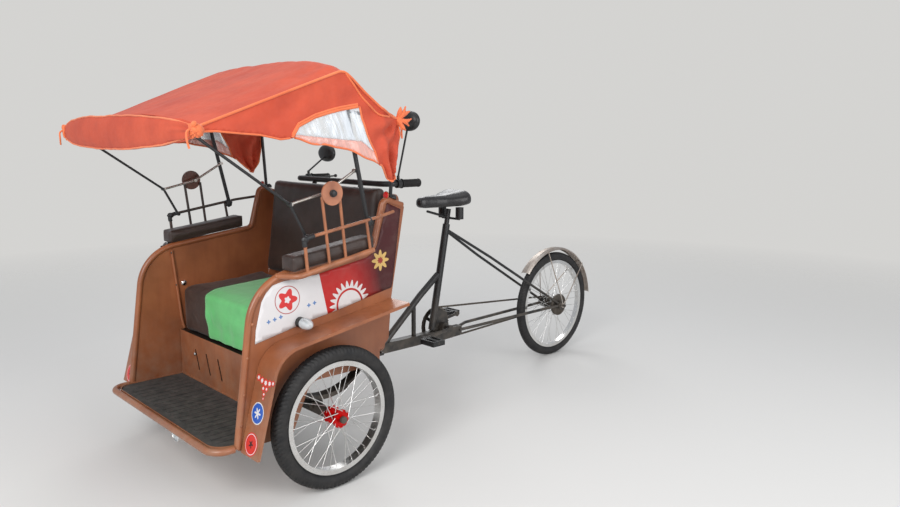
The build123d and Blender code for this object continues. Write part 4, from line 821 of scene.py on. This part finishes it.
def roll_point(share, turn, lift=0.0):
    """A point of the roll, its share counted from the near knot."""
    size = between(ROLL_SIZE, share)
    x = ROLL_NEAR + (ROLL_FAR - ROLL_NEAR) * share
    gather = eased((0.2 - share) / 0.17) + 0.5 * eased((share - 0.9) / 0.08)
    pleat = (4.6 * math.sin(8 * turn + 1) + 2.4 * math.sin(13 * turn)) * gather * min(1.0, size * 2.4)
    soft = 3.5 * noise.noise(Vector((x / 140, math.cos(turn) * 1.3, math.sin(turn) * 1.3)))
    soft += 1.5 * noise.noise(Vector((x / 46, math.cos(turn) * 3, math.sin(turn) * 3)))
    height = 61 * size + pleat + soft * size + lift
    depth = 21 * size + pleat * 0.5 + 1 + soft * size * 0.4 + lift
    centre = 1281 - 3 * math.sin(math.pi * share)
    rim = abs(math.cos(turn)) ** 0.8 * math.copysign(1, math.cos(turn))
    return at(x, ROLL_Y - rim * depth, centre + math.sin(turn) * height)


def front_roll():
    """The rolled cloth along the front, its seams, and the knots at its ends."""
    sides, rows = 44, 120
    net = Shape()
    rings = [[roll_point(row / rows, turn) for turn in turns(sides)] for row in range(rows + 1)]
    net.caps(net.grid(rings, False, True), sides)
    roll = net.piece("hood_front_roll", hood_cloth, crease=80)
    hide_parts("hood_valance")
    seams = Shape()
    for turn in (math.pi / 2 - 0.35, -math.pi / 2 + 0.4):
        seams.pipe([roll_point(row / rows, turn, 1.5) for row in range(2, rows - 1)], 3.2)
    seams.piece("hood_roll_piping", piping_cloth)

    ties = Shape()
    for side, share in ((1, 0.014), (-1, 0.985)):
        for wrap in range(3):
            spot = share + (wrap - 1) * 0.007
            ties.pipe([roll_point(spot, turn, 3.0) for turn in turns(18)], 4.2, 7, True)
        knot = roll_point(share, 0.4, 5)
        ties.pipe(hanging_line(knot, ((0, -14, -10), (4, -16, -34), (8 * side, -12, -58))), 3.4, 7)
        lump(ties, roll_point(share, 0, -4) + Vector((side * 0.004, 0.012, 0)), (15, 19, 21), 9.0, side)
        petals(ties, knot, side, ((50, 24), (10, 30), (-50, 26)))
    for side in (1, -1):
        corner = hood(HOOD_REAR - 4, side * (HOOD_ARCH - 2))
        lump(ties, corner + Vector((side * 0.004, 0.006, -0.004)), (15, 15, 20), 9.0, side)
        petals(ties, corner, side, ((84, 46), (56, 58), (28, 64), (2, 66), (-24, 58), (-50, 52), (-76, 40)))
        tail = ((6 * side, 14, -34), (4 * side, 18, -52), (8 * side, 16, -70))
        ties.pipe(hanging_line(corner, tail), 3.6, 8)
    ties.piece("hood_ties", piping_cloth)


def petals(shape, start, side, blades):
    """The loose gathered ends of a knot: tapered folds, each with its slope in degrees and its length."""
    for index, (slope, reach) in enumerate(blades):
        lean = math.radians(slope)
        away = Vector((side * 0.35, 0.75 * math.cos(lean), math.sin(lean))) * reach / 1000
        curl = Vector((side * 0.006, 0, -0.008 if index % 2 else 0.005))
        line = curve_through([start, start + away * 0.5 + curl, start + away], 7)
        shares = [k / (len(line) - 1) for k in range(len(line))]
        shape.pipe(line, [3 + 6.0 * math.sin(math.pi * min(share * 1.15, 1)) for share in shares], 9)


def hanging_line(start, steps):
    """A smooth line from a start through steps away from it, in millimetres."""
    return curve_through([start, *(start + Vector(step) / 1000 for step in steps)], 6)


def lump(shape, middle, size, folds, seed=0.0):
    """A bunched knot: a ball squeezed to a size, gathered in deep folds."""
    rows, sides = 14, 26
    rings = []
    for row in range(rows + 1):
        rise = math.pi * (row / rows - 0.5) * 0.995
        ring = []
        for turn in turns(sides):
            way = Vector((math.cos(rise) * math.cos(turn), math.cos(rise) * math.sin(turn), math.sin(rise)))
            fold = 1 + folds / 100 * math.sin(5 * turn + 7 * rise + seed) * math.cos(rise)
            fold += folds / 60 * noise.noise(way * 2.6 + Vector((seed, 3, 1)))
            ring.append(middle + Vector([way[k] * size[k] * fold / 1000 for k in range(3)]))
        rings.append(ring)
    shape.caps(shape.grid(rings, False, True), sides)


# Seat: a puffed cushion, a leaning back rest, arm pads, and a cloth over the seat.
CUSHION_HALF_W = 432
CUSHION_FOOT = 427
CUSHION_TOPS = ((-130, 617), (276, 642))
BACK_HALF_W = 392
BACK_FOOT, BACK_TOP = (296, 425), (380, 1045)
PAD_LEFT_RIGHT = (452, 529.5)
PAD_SEAM_LEFT_RIGHT = (453, 525)


def over_arm(x, y, rise):
    """A place above the sloping tube that carries an arm pad."""
    return (x, y, 781 + 0.1316 * (y + 274) + rise)


def seat_pieces():
    """The seat cushion, the back cushion, and the arm pads with their seams."""
    corners = []
    for x in (-CUSHION_HALF_W, CUSHION_HALF_W):
        for y, top in CUSHION_TOPS:
            corners += [at(x, y, CUSHION_FOOT), at(x, y, top)]
    cushion = block("cushion", corners, 14, brown_vinyl)
    swollen(cushion, 8, 10, 2)
    for vertex in cushion.data.vertices:
        vertex.co.z = max(vertex.co.z, 0.4256)
    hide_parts("seat_cushion")

    foot, top = Vector(BACK_FOOT), Vector(BACK_TOP)
    along = (top - foot).normalized()
    ahead = Vector((-along.y, along.x))
    corners = []
    for x in (-BACK_HALF_W, BACK_HALF_W):
        for off in (15.5, 66):
            for up in (217, 650):
                spot = foot + along * up + ahead * off
                corners.append(at(x, spot.x, spot.y))
    rest = block("back_cushion", corners, 18, brown_vinyl)
    swollen(rest, 7, 9, 2)
    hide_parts("back_rest")

    for name, side in SIDES:
        corners = []
        for x in PAD_LEFT_RIGHT:
            for y in (-156.5, 190.5):
                for rise in (14.6, 64.4):
                    corners.append(at(*over_arm(side * x, y, rise)))
        pad = block("arm_pad_" + name, corners, 6, brown_vinyl)
        swollen(pad, 4, 2)
        if side == 1:
            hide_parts("arm_pads")
        tree = skin(pad)
        seam = Shape()
        near, far = PAD_SEAM_LEFT_RIGHT
        for rise in (17, 62):
            ends = ((near, -154), (far, -154), (far, 188), (near, 188))
            loop = [over_arm(side * u, v, rise) for u, v in ends]
            line = []
            for spot in walked(loop, 6, True):
                place, normal, _, _ = tree.find_nearest(at(*spot))
                line.append(place + normal * 0.0006)
            seam.pipe(line, 1.5, 6, True)
        seam.piece("arm_pad_piping_" + name, brown_vinyl)
    return cushion


CLOTH_LEFT = -219.0
CLOTH_RIGHT = 402.0


def seat_cover(cushion):
    """The green cloth: laid over the cushion and hanging down its front."""
    tree = skin(cushion)
    columns, rows = 96, 120
    lines = []
    for column in range(columns + 1):
        x = CLOTH_LEFT + (CLOTH_RIGHT - CLOTH_LEFT) * column / columns
        middle = at(x, 20, 500)
        path = []
        for step in range(201):
            turn = math.radians(-61 + 175 * step / 200)
            out = Vector((0, -math.sin(turn), math.cos(turn)))
            place = tree.ray_cast(middle + out * 0.4, -out)[0]
            if place is not None:
                path.append(place)
        low = 438 + 2 * math.sin(x / 70) + 2 * noise.noise(Vector((x / 40, 0, 0)))
        path = [spot for spot in path if spot.z > low / 1000]
        rear = AXLE_Y + (244 + 4 * math.sin(x / 90 + 2)) / 1000
        path = [spot for spot in path if spot.y < rear]
        lines.append(evenly(path, rows))
    cloth_net = Shape()
    grid = []
    for column, line in enumerate(lines):
        grid.append([])
        for row, spot in enumerate(line):
            x, run = spot.x * 1000, row / rows
            fold = 1.3 * abs(noise.noise(Vector((x / 120 + run * 2.2, run * 3.2, 1))))
            fold += 0.8 * abs(noise.noise(Vector((x / 45 - run, run * 7, 4))))
            hang = eased((run - 0.68) / 0.32)
            wave = 1.8 * hang * (1 + math.sin(x / 21 + 1.7 * math.sin(x / 83)))
            drawn_in = 32 * eased((run - 0.64) / 0.36) * (1 - column / columns) ** 2
            ahead = line[min(row + 1, rows)] - line[max(row - 1, 0)]
            out = Vector((0, ahead.z, -ahead.y)).normalized()
            grid[-1].append(spot + out * (1.6 + fold + wave) / 1000 + Vector((drawn_in / 1000, 0, 0)))
    cloth_net.grid(grid)
    cover = cloth_net.piece("seat_cover_cloth", green_cloth, crease=80, closed=False)
    thickened(cover, 1.2)
    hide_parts("seat_cloth")
    hem = Shape()
    hem.pipe([row[-1] for row in grid], 1.6, 6)
    for edge in ([row[0] for row in grid], grid[0], grid[-1]):
        hem.pipe(edge, 1.4, 6)
    hem_piece = hem.piece("seat_cover_hem", green_cloth)


def evenly(line, parts):
    """The line again as a number of equal steps."""
    lengths = [0.0]
    for first, second in zip(line, line[1:]):
        lengths.append(lengths[-1] + (second - first).length)
    spots, index = [], 0
    for part in range(parts + 1):
        goal = lengths[-1] * part / parts
        while index < len(line) - 2 and lengths[index + 1] < goal:
            index += 1
        span = lengths[index + 1] - lengths[index]
        spots.append(line[index].lerp(line[index + 1], (goal - lengths[index]) / max(span, 1e-9)))
    return spots


# Prints and stickers: thin sheets laid on the side panels and on the mudguards' fronts.
BANNER = [
    (-276, 572), (-271, 620), (-247, 712), (-229, 740), (-203, 764), (-158, 774), (-25, 780),
    (200, 818), (230, 833), (248, 858), (299, 1018), (366, 990), (352, 893), (323, 704), (317, 687),
    (242, 673), (60, 637), (-53, 619),
]
FENDER_FOOT = (-345.0, 209.0)
FENDER_RISE = (0.2589, 0.9659)


def banners():
    """The printed sheet on each side panel."""
    for name, side in SIDES:
        def laid(u, v):
            ripple = 0.5 + 0.5 * noise.noise(Vector((u / 70, v / 50, side * 4.0)))
            return at(side * (468.9 + ripple), u, v)

        outline = [tuple(spot) for spot in walked(BANNER, 12, True)]
        sheet = cut_cloth(outline, [], [], 14, laid)
        print_piece = sheet.piece("side_banner_" + name, banner_sheet, crease=80, closed=False)
        thickened(print_piece, 0.6)


def prism(shape, loop, along):
    """A flat loop of points made thick along one way."""
    first, count = len(shape.points), len(loop)
    shape.points += [*loop, *(spot + along for spot in loop)]
    for k in range(count):
        after = (k + 1) % count
        shape.faces.append((first + k, first + after, first + count + after, first + count + k))
    shape.faces.append(tuple(range(first, first + count)))
    shape.faces.append(tuple(range(first + count, first + 2 * count)))


def sticker(shape, x, run, reach, layer, waves=0, depth=0.0, parts=48):
    """A flat round or petalled sticker on a mudguard's front, run millimetres up from its foot."""
    middle = Vector((x, FENDER_FOOT[0] + run * FENDER_RISE[0], FENDER_FOOT[1] + run * FENDER_RISE[1]))
    up = Vector((0, *FENDER_RISE))
    out = Vector((0, -FENDER_RISE[1], FENDER_RISE[0]))
    loop = []
    for turn in turns(parts):
        far = reach + depth * math.cos(waves * turn)
        spot = middle + Vector((1, 0, 0)) * far * math.cos(turn) + up * far * math.sin(turn) + out * 0.15
        loop.append(at(*spot))
    prism(shape, loop, out * (0.3 + 0.25 * layer) / 1000)


def stickers():
    """Round stickers and small flowers on the mudguards' fronts."""
    layers = {name: Shape() for name in ("white", "blue", "red", "dark")}
    sticker(layers["white"], 526, 148, 37, 0)
    sticker(layers["blue"], 526, 148, 33.5, 1)
    sticker(layers["white"], 526, 148, 13, 2, 6, 7)
    for x in (524, -524):
        sticker(layers["red"], x, 43, 39, 0)
        sticker(layers["white"], x, 43, 35, 1)
        sticker(layers["red"], x, 43, 32.5, 2)
        sticker(layers["dark"], x, 43, 9, 3, 5, 5)
    garland = ((490, 262, 11), (514, 257, 12), (538, 254, 13), (562, 257, 12), (582, 262, 9))
    for x, run, reach in garland:
        sticker(layers["red"], x, run, reach, 0, 7, 2.2)
        sticker(layers["white"], x, run, reach * 0.55, 1, 7, 1.4)
    for x, run, reach in ((530, 234, 10), (550, 236, 9), (540, 216, 8), (541, 202, 5.5)):
        sticker(layers["red"], x, run, reach, 0, 5, 1.8)
        sticker(layers["white"], x, run, reach * 0.45, 1, 5, 1.0)
    skins = {"white": white_sticker, "blue": blue_sticker, "red": red_sticker, "dark": black_plastic}
    for name, shape in layers.items():
        shape.piece("fender_sticker_" + name, skins[name])


# Small metal and plastic pieces.
def dome(shape, place, along, radius, height, sides=20):
    """A round-headed screw or stud."""
    rows = ((0.35, 0.96), (0.75, 0.68), (1, 0.16))
    profile = [(-1.0, radius), *((height * rise, radius * share) for rise, share in rows)]
    shape.turned(profile, place, along, sides)


def cabin_trim():
    """Screws, studs, tape, knobs and lenses on the cabin."""
    screws, studs, tape, brown, clear, red = (Shape() for _ in range(6))
    for side in (1, -1):
        for y, z in ((-187, 795), (-258, 728), (-285, 643), (-309, 530), (-326, 405), (-340, 300)):
            dome(screws, at(side * 474.2, y, z), (side, 0, 0), 5.5, 2.6)
        dome(studs, at(side * 455.6, -105, 629), (-side, 0, 0), 12, 7)
        for y, z in ((-156, 769), (-141, 626)):
            dome(screws, at(side * 447.4, y, z), (-side, 0, 0), 5, 2.2)
        rib = [at(side * 451.5, y, z) for y, z in ((-154, 778), (-141, 646), (-124, 473), (-114, 430))]
        brown.pipe(rib, 6.4, 12)
        lump(tape, at(side * 540, -113, 921), (10.5, 14, 12), 6.0, side)
        winding = ((-114, 896), (-115.5, 912), (-108, 922), (-94, 927), (-78, 930))
        line = curve_through([at(side * 540, y, z) for y, z in winding], 5)
        tape.pipe(line, [8.6 + 0.7 * (step % 2) for step in range(len(line))], 12)
        lump(tape, at(side * 531, 163, 962), (17, 15, 19), 7.0, side + 2)
        knob = [(0, 13), (6, 13), (7, 11), (13, 10.5), (15, 8), (15.5, 1)]
        tape.turned(knob, at(side * 552.5, -6, 1073), (side, 0, 0))
        dome(tape, at(side * 462, 336, 1033), (0, 0.25, 1), 13, 15, 28)
        brown.turned([(0, 7), (14, 7)], at(side * 462, 316, 1022), (0, -0.1, 1), 14)
        reflector = [(-3, 14), (1.5, 14), (3.5, 12.5), (4.2, 9), (4.4, 1)]
        red.turned(reflector, at(side * 462, 301, 1046), (0, -1, 0.1), 28)
        brown.turned([(0, 15.5), (4, 15.5)], at(side * 462, 303.5, 1046), (0, -1, 0.1), 28)
        bulb = [(0.5, 16), (3.5, 19), (12.5, 20.5), (28.5, 20), (44.5, 15.5), (54.5, 8.5), (59, 1)]
        clear.turned(bulb, at(side * 490.8, -100, 620), (side, -0.03, 0.02))
    for x in (-311, 311):
        dome(studs, at(x, -135.4, 342), (0, -1, 0), 8, 6)
    clear_piece = clear.piece("signal_bulbs", lens_clear)
    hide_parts("signal_lenses")
    # The screws share rail_paint: those on the far side take its painted shade.
    screws.piece("panel_screws", rail_paint)
    studs.piece("bright_studs", chrome)
    tape.piece("black_tape_and_knobs", black_tape)
    brown.piece("panel_ribs", brown_paint)
    red.piece("red_reflectors", red_reflector)
    lens = Shape()
    lens.turned([(0, 30.5), (3, 30), (7, 24), (10, 14), (11.5, 1)], at(60, -392.4, 166), (0, -1, 0), 40)
    lens.piece("headlamp_lens", lens_clear)
    rim = Shape()
    rim.pipe(oval(60, -393, 166, 31, 31), 2.4, 8, True)
    rim.piece("headlamp_rim", chrome)


MIRROR_SHELL = [
    (0.96, -1.6), (1.03, -1.0), (1.05, 3), (1.04, 10), (0.98, 17), (0.84, 23.5), (0.6, 28), (0.3, 30.5),
    (0.02, 31),
]


def handle_trim():
    """Ribbed grips, and mirror shells with their glasses."""
    grips = Shape()
    for side in (1, -1):
        profile = [(0, 12.5), (0.5, 20), (4, 20), (5, 16)]
        for step in range(21):
            profile += [(7 + step * 4, 15.2), (8.2 + step * 4, 16.6), (9.8 + step * 4, 16.6)]
        profile += [(92, 16), (94, 18), (98, 17), (100, 12), (100.4, 1)]
        grips.turned(profile, at(side * 330, 485.8, 1078), (0, 1, 0), 24)
    grip_piece = grips.piece("grip_sleeves", grip_rubber)
    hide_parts("grips")
    shells, glasses = Shape(), Shape()
    for x, y, z in ((360, 511, 1331), (-352, 600, 1190)):
        rings = [oval(x, y - back, z, 59 * size, 39 * size) for size, back in MIRROR_SHELL]
        shells.caps(shells.grid(rings, False, True), len(rings[0]))
        prism(glasses, oval(x, y + 1.8, z, 55, 35.5), Vector((0, 0.0012, 0)))
    shells.piece("mirror_shells", black_plastic)
    glasses.piece("mirror_glasses", mirror_glass)


# By share of the saddle's length: its half width, and the heights of its top and its lower edge.
SADDLE_WIDE = [
    (0, 3), (0.02, 15), (0.05, 22), (0.1, 27), (0.2, 31), (0.35, 40), (0.5, 56), (0.62, 78), (0.74, 98),
    (0.84, 107), (0.92, 104), (0.97, 86), (0.99, 66), (1, 40),
]
SADDLE_TOP = [
    (0, 962), (0.02, 972), (0.06, 980), (0.15, 985), (0.35, 986), (0.55, 990), (0.75, 1002), (0.9, 1012),
    (0.96, 1008), (0.99, 994), (1, 978),
]
SADDLE_LOW = [
    (0, 950), (0.02, 940), (0.06, 932), (0.15, 928), (0.5, 927), (0.8, 929), (0.95, 934), (0.99, 944),
    (1, 956),
]


def saddle_shell():
    """The saddle: a narrow rounded nose that widens and rises to the rear."""
    rows, sides = 60, 40
    rings = []
    for row in range(rows + 1):
        share = eased(row / rows) * 0.35 + row / rows * 0.65
        half, crest, base = (between(table, share) for table in (SADDLE_WIDE, SADDLE_TOP, SADDLE_LOW))
        middle = base + (crest - base) * 0.42
        ring = []
        for turn in turns(sides):
            over = math.sin(turn)
            x = half * abs(math.cos(turn)) ** 0.72 * math.copysign(1, math.cos(turn))
            z = middle + (crest - middle) * over**0.85
            if over < 0:
                z = middle - (middle - base) * (-over) ** 0.6
            dip = 5 * eased((share - 0.5) / 0.3) * math.exp(-((x / 22) ** 2)) * max(over, 0)
            ring.append(at(x, 864 + 286 * share, z - dip))
        rings.append(ring)
    shell = Shape()
    shell.caps(shell.grid(rings, False, True), sides)
    piece = shell.piece("saddle_shell", saddle_skin, "rider_frame", 70)
    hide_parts("saddle")


# Chain: plates and rollers one pitch apart round both sprockets, and the chainring's teeth.
RING = (1022.0, 322.0)
COG = (1918.0, 304.0)
CHAIN_X = -42.0
PITCH = 12.7
RING_TEETH = 44
COG_TEETH = 18


def chain_line():
    """Evenly spaced points of the chain's loop, as y and z."""
    big, small = (PITCH / (2 * math.sin(math.pi / teeth)) for teeth in (RING_TEETH, COG_TEETH))
    ring, cog = Vector(RING), Vector(COG)
    aim = math.atan2(cog.y - ring.y, cog.x - ring.x)
    lean = math.acos((big - small) / (cog - ring).length)
    loop = []
    for step in range(61):
        turn = aim + lean + (2 * math.pi - 2 * lean) * step / 60
        loop.append(ring + Vector((math.cos(turn), math.sin(turn))) * big)
    for step in range(41):
        turn = aim - lean + 2 * lean * step / 40
        loop.append(cog + Vector((math.cos(turn), math.sin(turn))) * small)
    loop.append(loop[0])
    length = sum((second - first).length for first, second in zip(loop, loop[1:]))
    return evenly(loop, 2 * round(length / PITCH / 2))[:-1]


def chain_links():
    """The chain's plates and rollers, and the chainring's teeth."""
    spots = chain_line()
    links = Shape()
    for index, start in enumerate(spots):
        end = spots[(index + 1) % len(spots)]
        along = (end - start).normalized()
        side = Vector((-along.y, along.x))
        outline = []
        for middle, way in ((start, -1), (end, 1)):
            for turn in (-90, -45, 0, 45, 90):
                bend = math.radians(turn)
                away = along * math.cos(bend) + side * math.sin(bend)
                outline.append(middle + away * way * 4.1)
        spread = 3.4 if index % 2 else 2.3
        for x in (-spread - 0.5, spread - 0.5):
            prism(links, [at(CHAIN_X + x, spot.x, spot.y) for spot in outline], Vector((0.001, 0, 0)))
        links.turned([(0, 3.0), (7.6, 3.0)], at(CHAIN_X - 3.8, start.x, start.y), (1, 0, 0), 8)
    piece = links.piece("chain_links", oiled_steel, "rider_frame")
    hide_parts("chain")
    big = PITCH / (2 * math.sin(math.pi / RING_TEETH))
    teeth = Shape()
    loop, inner = [], []
    for step in range(RING_TEETH * 4):
        turn = 2 * math.pi * step / (RING_TEETH * 4) + math.radians(3)
        reach = big + (4.2, 2.2, -3.2, 2.2)[step % 4]
        loop.append(at(CHAIN_X - 0.9, RING[0] + reach * math.cos(turn), RING[1] + reach * math.sin(turn)))
        inner.append(at(CHAIN_X - 0.9, RING[0] + 76 * math.cos(turn), RING[1] + 76 * math.sin(turn)))
    far = Vector((0.0018, 0, 0))
    teeth.grid([loop, inner, [spot + far for spot in inner], [spot + far for spot in loop]], True, True)
    teeth.piece("chainring_teeth", oiled_steel, "crank")


# Tyres: a round tread with cut blocks.
def tyre(node, centre, radius, width, rim_radius, blocks, body):
    """A tyre's skin, its tread cut into blocks in parts of one turn."""
    half = width / 2
    wall = radius - rim_radius
    knots = [
        (half - 12.3, rim_radius - 5.4),
        (half - 11.4, rim_radius + 3),
        (half - 4, rim_radius + 0.16 * wall),
        (half - 0.4, rim_radius + 0.38 * wall),
        (half, rim_radius + 0.5 * wall),
        (half - 1.6, rim_radius + 0.68 * wall),
        (half - 6.4, rim_radius + 0.86 * wall),
        (half * 0.46, rim_radius + 0.965 * wall),
        (0, radius),
    ]
    right = curve_through([Vector(knot) for knot in knots], 3)
    profile = [*right, *(Vector((-spot.x, spot.y)) for spot in right[-2::-1])]
    parts = 8
    count = blocks * parts
    rows = []
    for step in range(count):
        turn = 2 * math.pi * step / count
        across = Vector((0, math.cos(turn), math.sin(turn)))
        row = []
        for x, reach in profile:
            phase = (step / parts + abs(x) / 26 + (0.5 if x > 0 else 0)) % 1.0
            zigzag = 2.2 * abs(2 * ((step / parts) % 1.0) - 1)
            tread = reach > rim_radius + 0.72 * wall
            shoulder = reach > rim_radius + (0.44 if step // parts % 2 else 0.58) * wall
            channel = tread and abs(abs(x) - 5.5 - zigzag) < 1.9
            slot = shoulder and abs(x) > 8 and phase < 0.36
            ring = abs(reach - rim_radius - 0.24 * wall) < 1.5
            cut = 2.8 if channel or slot else -0.7 if ring else 0.0
            row.append(centre + Vector((x / 1000, 0, 0)) + across * (reach - cut) / 1000)
        rows.append(row)
    net = Shape()
    net.grid(rows, True)
    made = net.piece(node + "_tread", tyre_rubber, body, crease=32, closed=False)
    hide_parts(node)


hood_pieces()
front_roll()
seat_cover(seat_pieces())
tyre("front_left_tyre", joint_place["front_wheel_left_spin"], 263, 56, 209, 97, "front_wheel_left")
tyre("front_right_tyre", joint_place["front_wheel_right_spin"], 263, 56, 209, 97, "front_wheel_right")
tyre("rear_tyre", joint_place["rear_wheel_spin"], 304, 46, 258, 112, "rear_wheel")
banners()
stickers()
cabin_trim()
handle_trim()
saddle_shell()
chain_links()


def stage():
    """A pale floor that fades into a pale surround, soft lamps, and the photograph's camera."""
    floor_finish = Finish("pale_floor", (0.66, 0.65, 0.63), 0.85)
    floor_finish.rough(floor_finish.band(floor_finish.noise(3.0), 0.3, 0.7, 0.8, 0.9))
    x, y = floor_finish.axis(0), floor_finish.axis(1)
    square = floor_finish.math(
        "ADD", floor_finish.math("MULTIPLY", x, x), floor_finish.math("MULTIPLY", y, y)
    )
    faded = floor_finish.band(floor_finish.math("SQRT", square, 0), 2.2, 6.5, 1.0, 0.0)
    floor_finish.link(faded, floor_finish.shader.inputs["Alpha"])
    mesh = bpy.data.meshes.new("floor")
    reach = 12.0
    corners = [(-reach, -reach, 0), (reach, -reach, 0), (reach, reach, 0), (-reach, reach, 0)]
    mesh.from_pydata(corners, [], [(0, 1, 2, 3)])
    mesh.materials.append(floor_finish.material)
    floor = bpy.data.objects.new("floor", mesh)
    bpy.context.scene.collection.objects.link(floor)

    world = bpy.data.worlds.new("pale_surround")
    world.use_nodes = True
    tree = world.node_tree
    light = tree.nodes["Background"]
    light.inputs["Color"].default_value = (0.84, 0.87, 0.92, 1)
    light.inputs["Strength"].default_value = 0.6
    seen = tree.nodes.new("ShaderNodeBackground")
    seen.inputs["Color"].default_value = (0.66, 0.655, 0.64, 1)
    seen.inputs["Strength"].default_value = 1.0
    path = tree.nodes.new("ShaderNodeLightPath")
    both = tree.nodes.new("ShaderNodeMixShader")
    tree.links.new(path.outputs["Is Camera Ray"], both.inputs[0])
    tree.links.new(light.outputs[0], both.inputs[1])
    tree.links.new(seen.outputs[0], both.inputs[2])
    tree.links.new(both.outputs[0], tree.nodes["World Output"].inputs[0])
    bpy.context.scene.world = world

    centre = Vector((0, 0, 0.7))
    lamps = (
        ("key", (2.4, -4.4, 3.2), 3.0, 190),
        ("fill", (5.2, 0.2, 2.2), 4.0, 120),
        ("back", (-4.5, 3.5, 4.2), 3.0, 80),
        ("top", (0.0, 0.0, 5.6), 4.5, 40),
    )
    for name, spot, size, power in lamps:
        light = bpy.data.lights.new(name, "AREA")
        light.shape = "DISK"
        light.size = size
        light.energy = power
        lamp = bpy.data.objects.new(name, light)
        lamp.location = spot
        lamp.rotation_euler = (centre - Vector(spot)).to_track_quat("-Z", "Y").to_euler()
        bpy.context.scene.collection.objects.link(lamp)

    eye = Vector((2.6742, AXLE_Y - 1.4786, 1.2582))
    yaw, pitch, roll = -0.8069, -0.1529, 0.0034
    look = Vector((math.sin(yaw) * math.cos(pitch), math.cos(yaw) * math.cos(pitch), math.sin(pitch)))
    data = bpy.data.cameras.new("camera")
    data.sensor_width = 36.0
    data.lens = 29.6485
    camera = bpy.data.objects.new("camera", data)
    camera.location = eye
    aim = look.to_track_quat("-Z", "Y").to_matrix()
    camera.rotation_euler = (aim @ Matrix.Rotation(roll, 3, "Z")).to_euler()
    bpy.context.scene.collection.objects.link(camera)
    bpy.context.scene.camera = camera
    bpy.context.scene.view_settings.view_transform = "Standard"


stage()
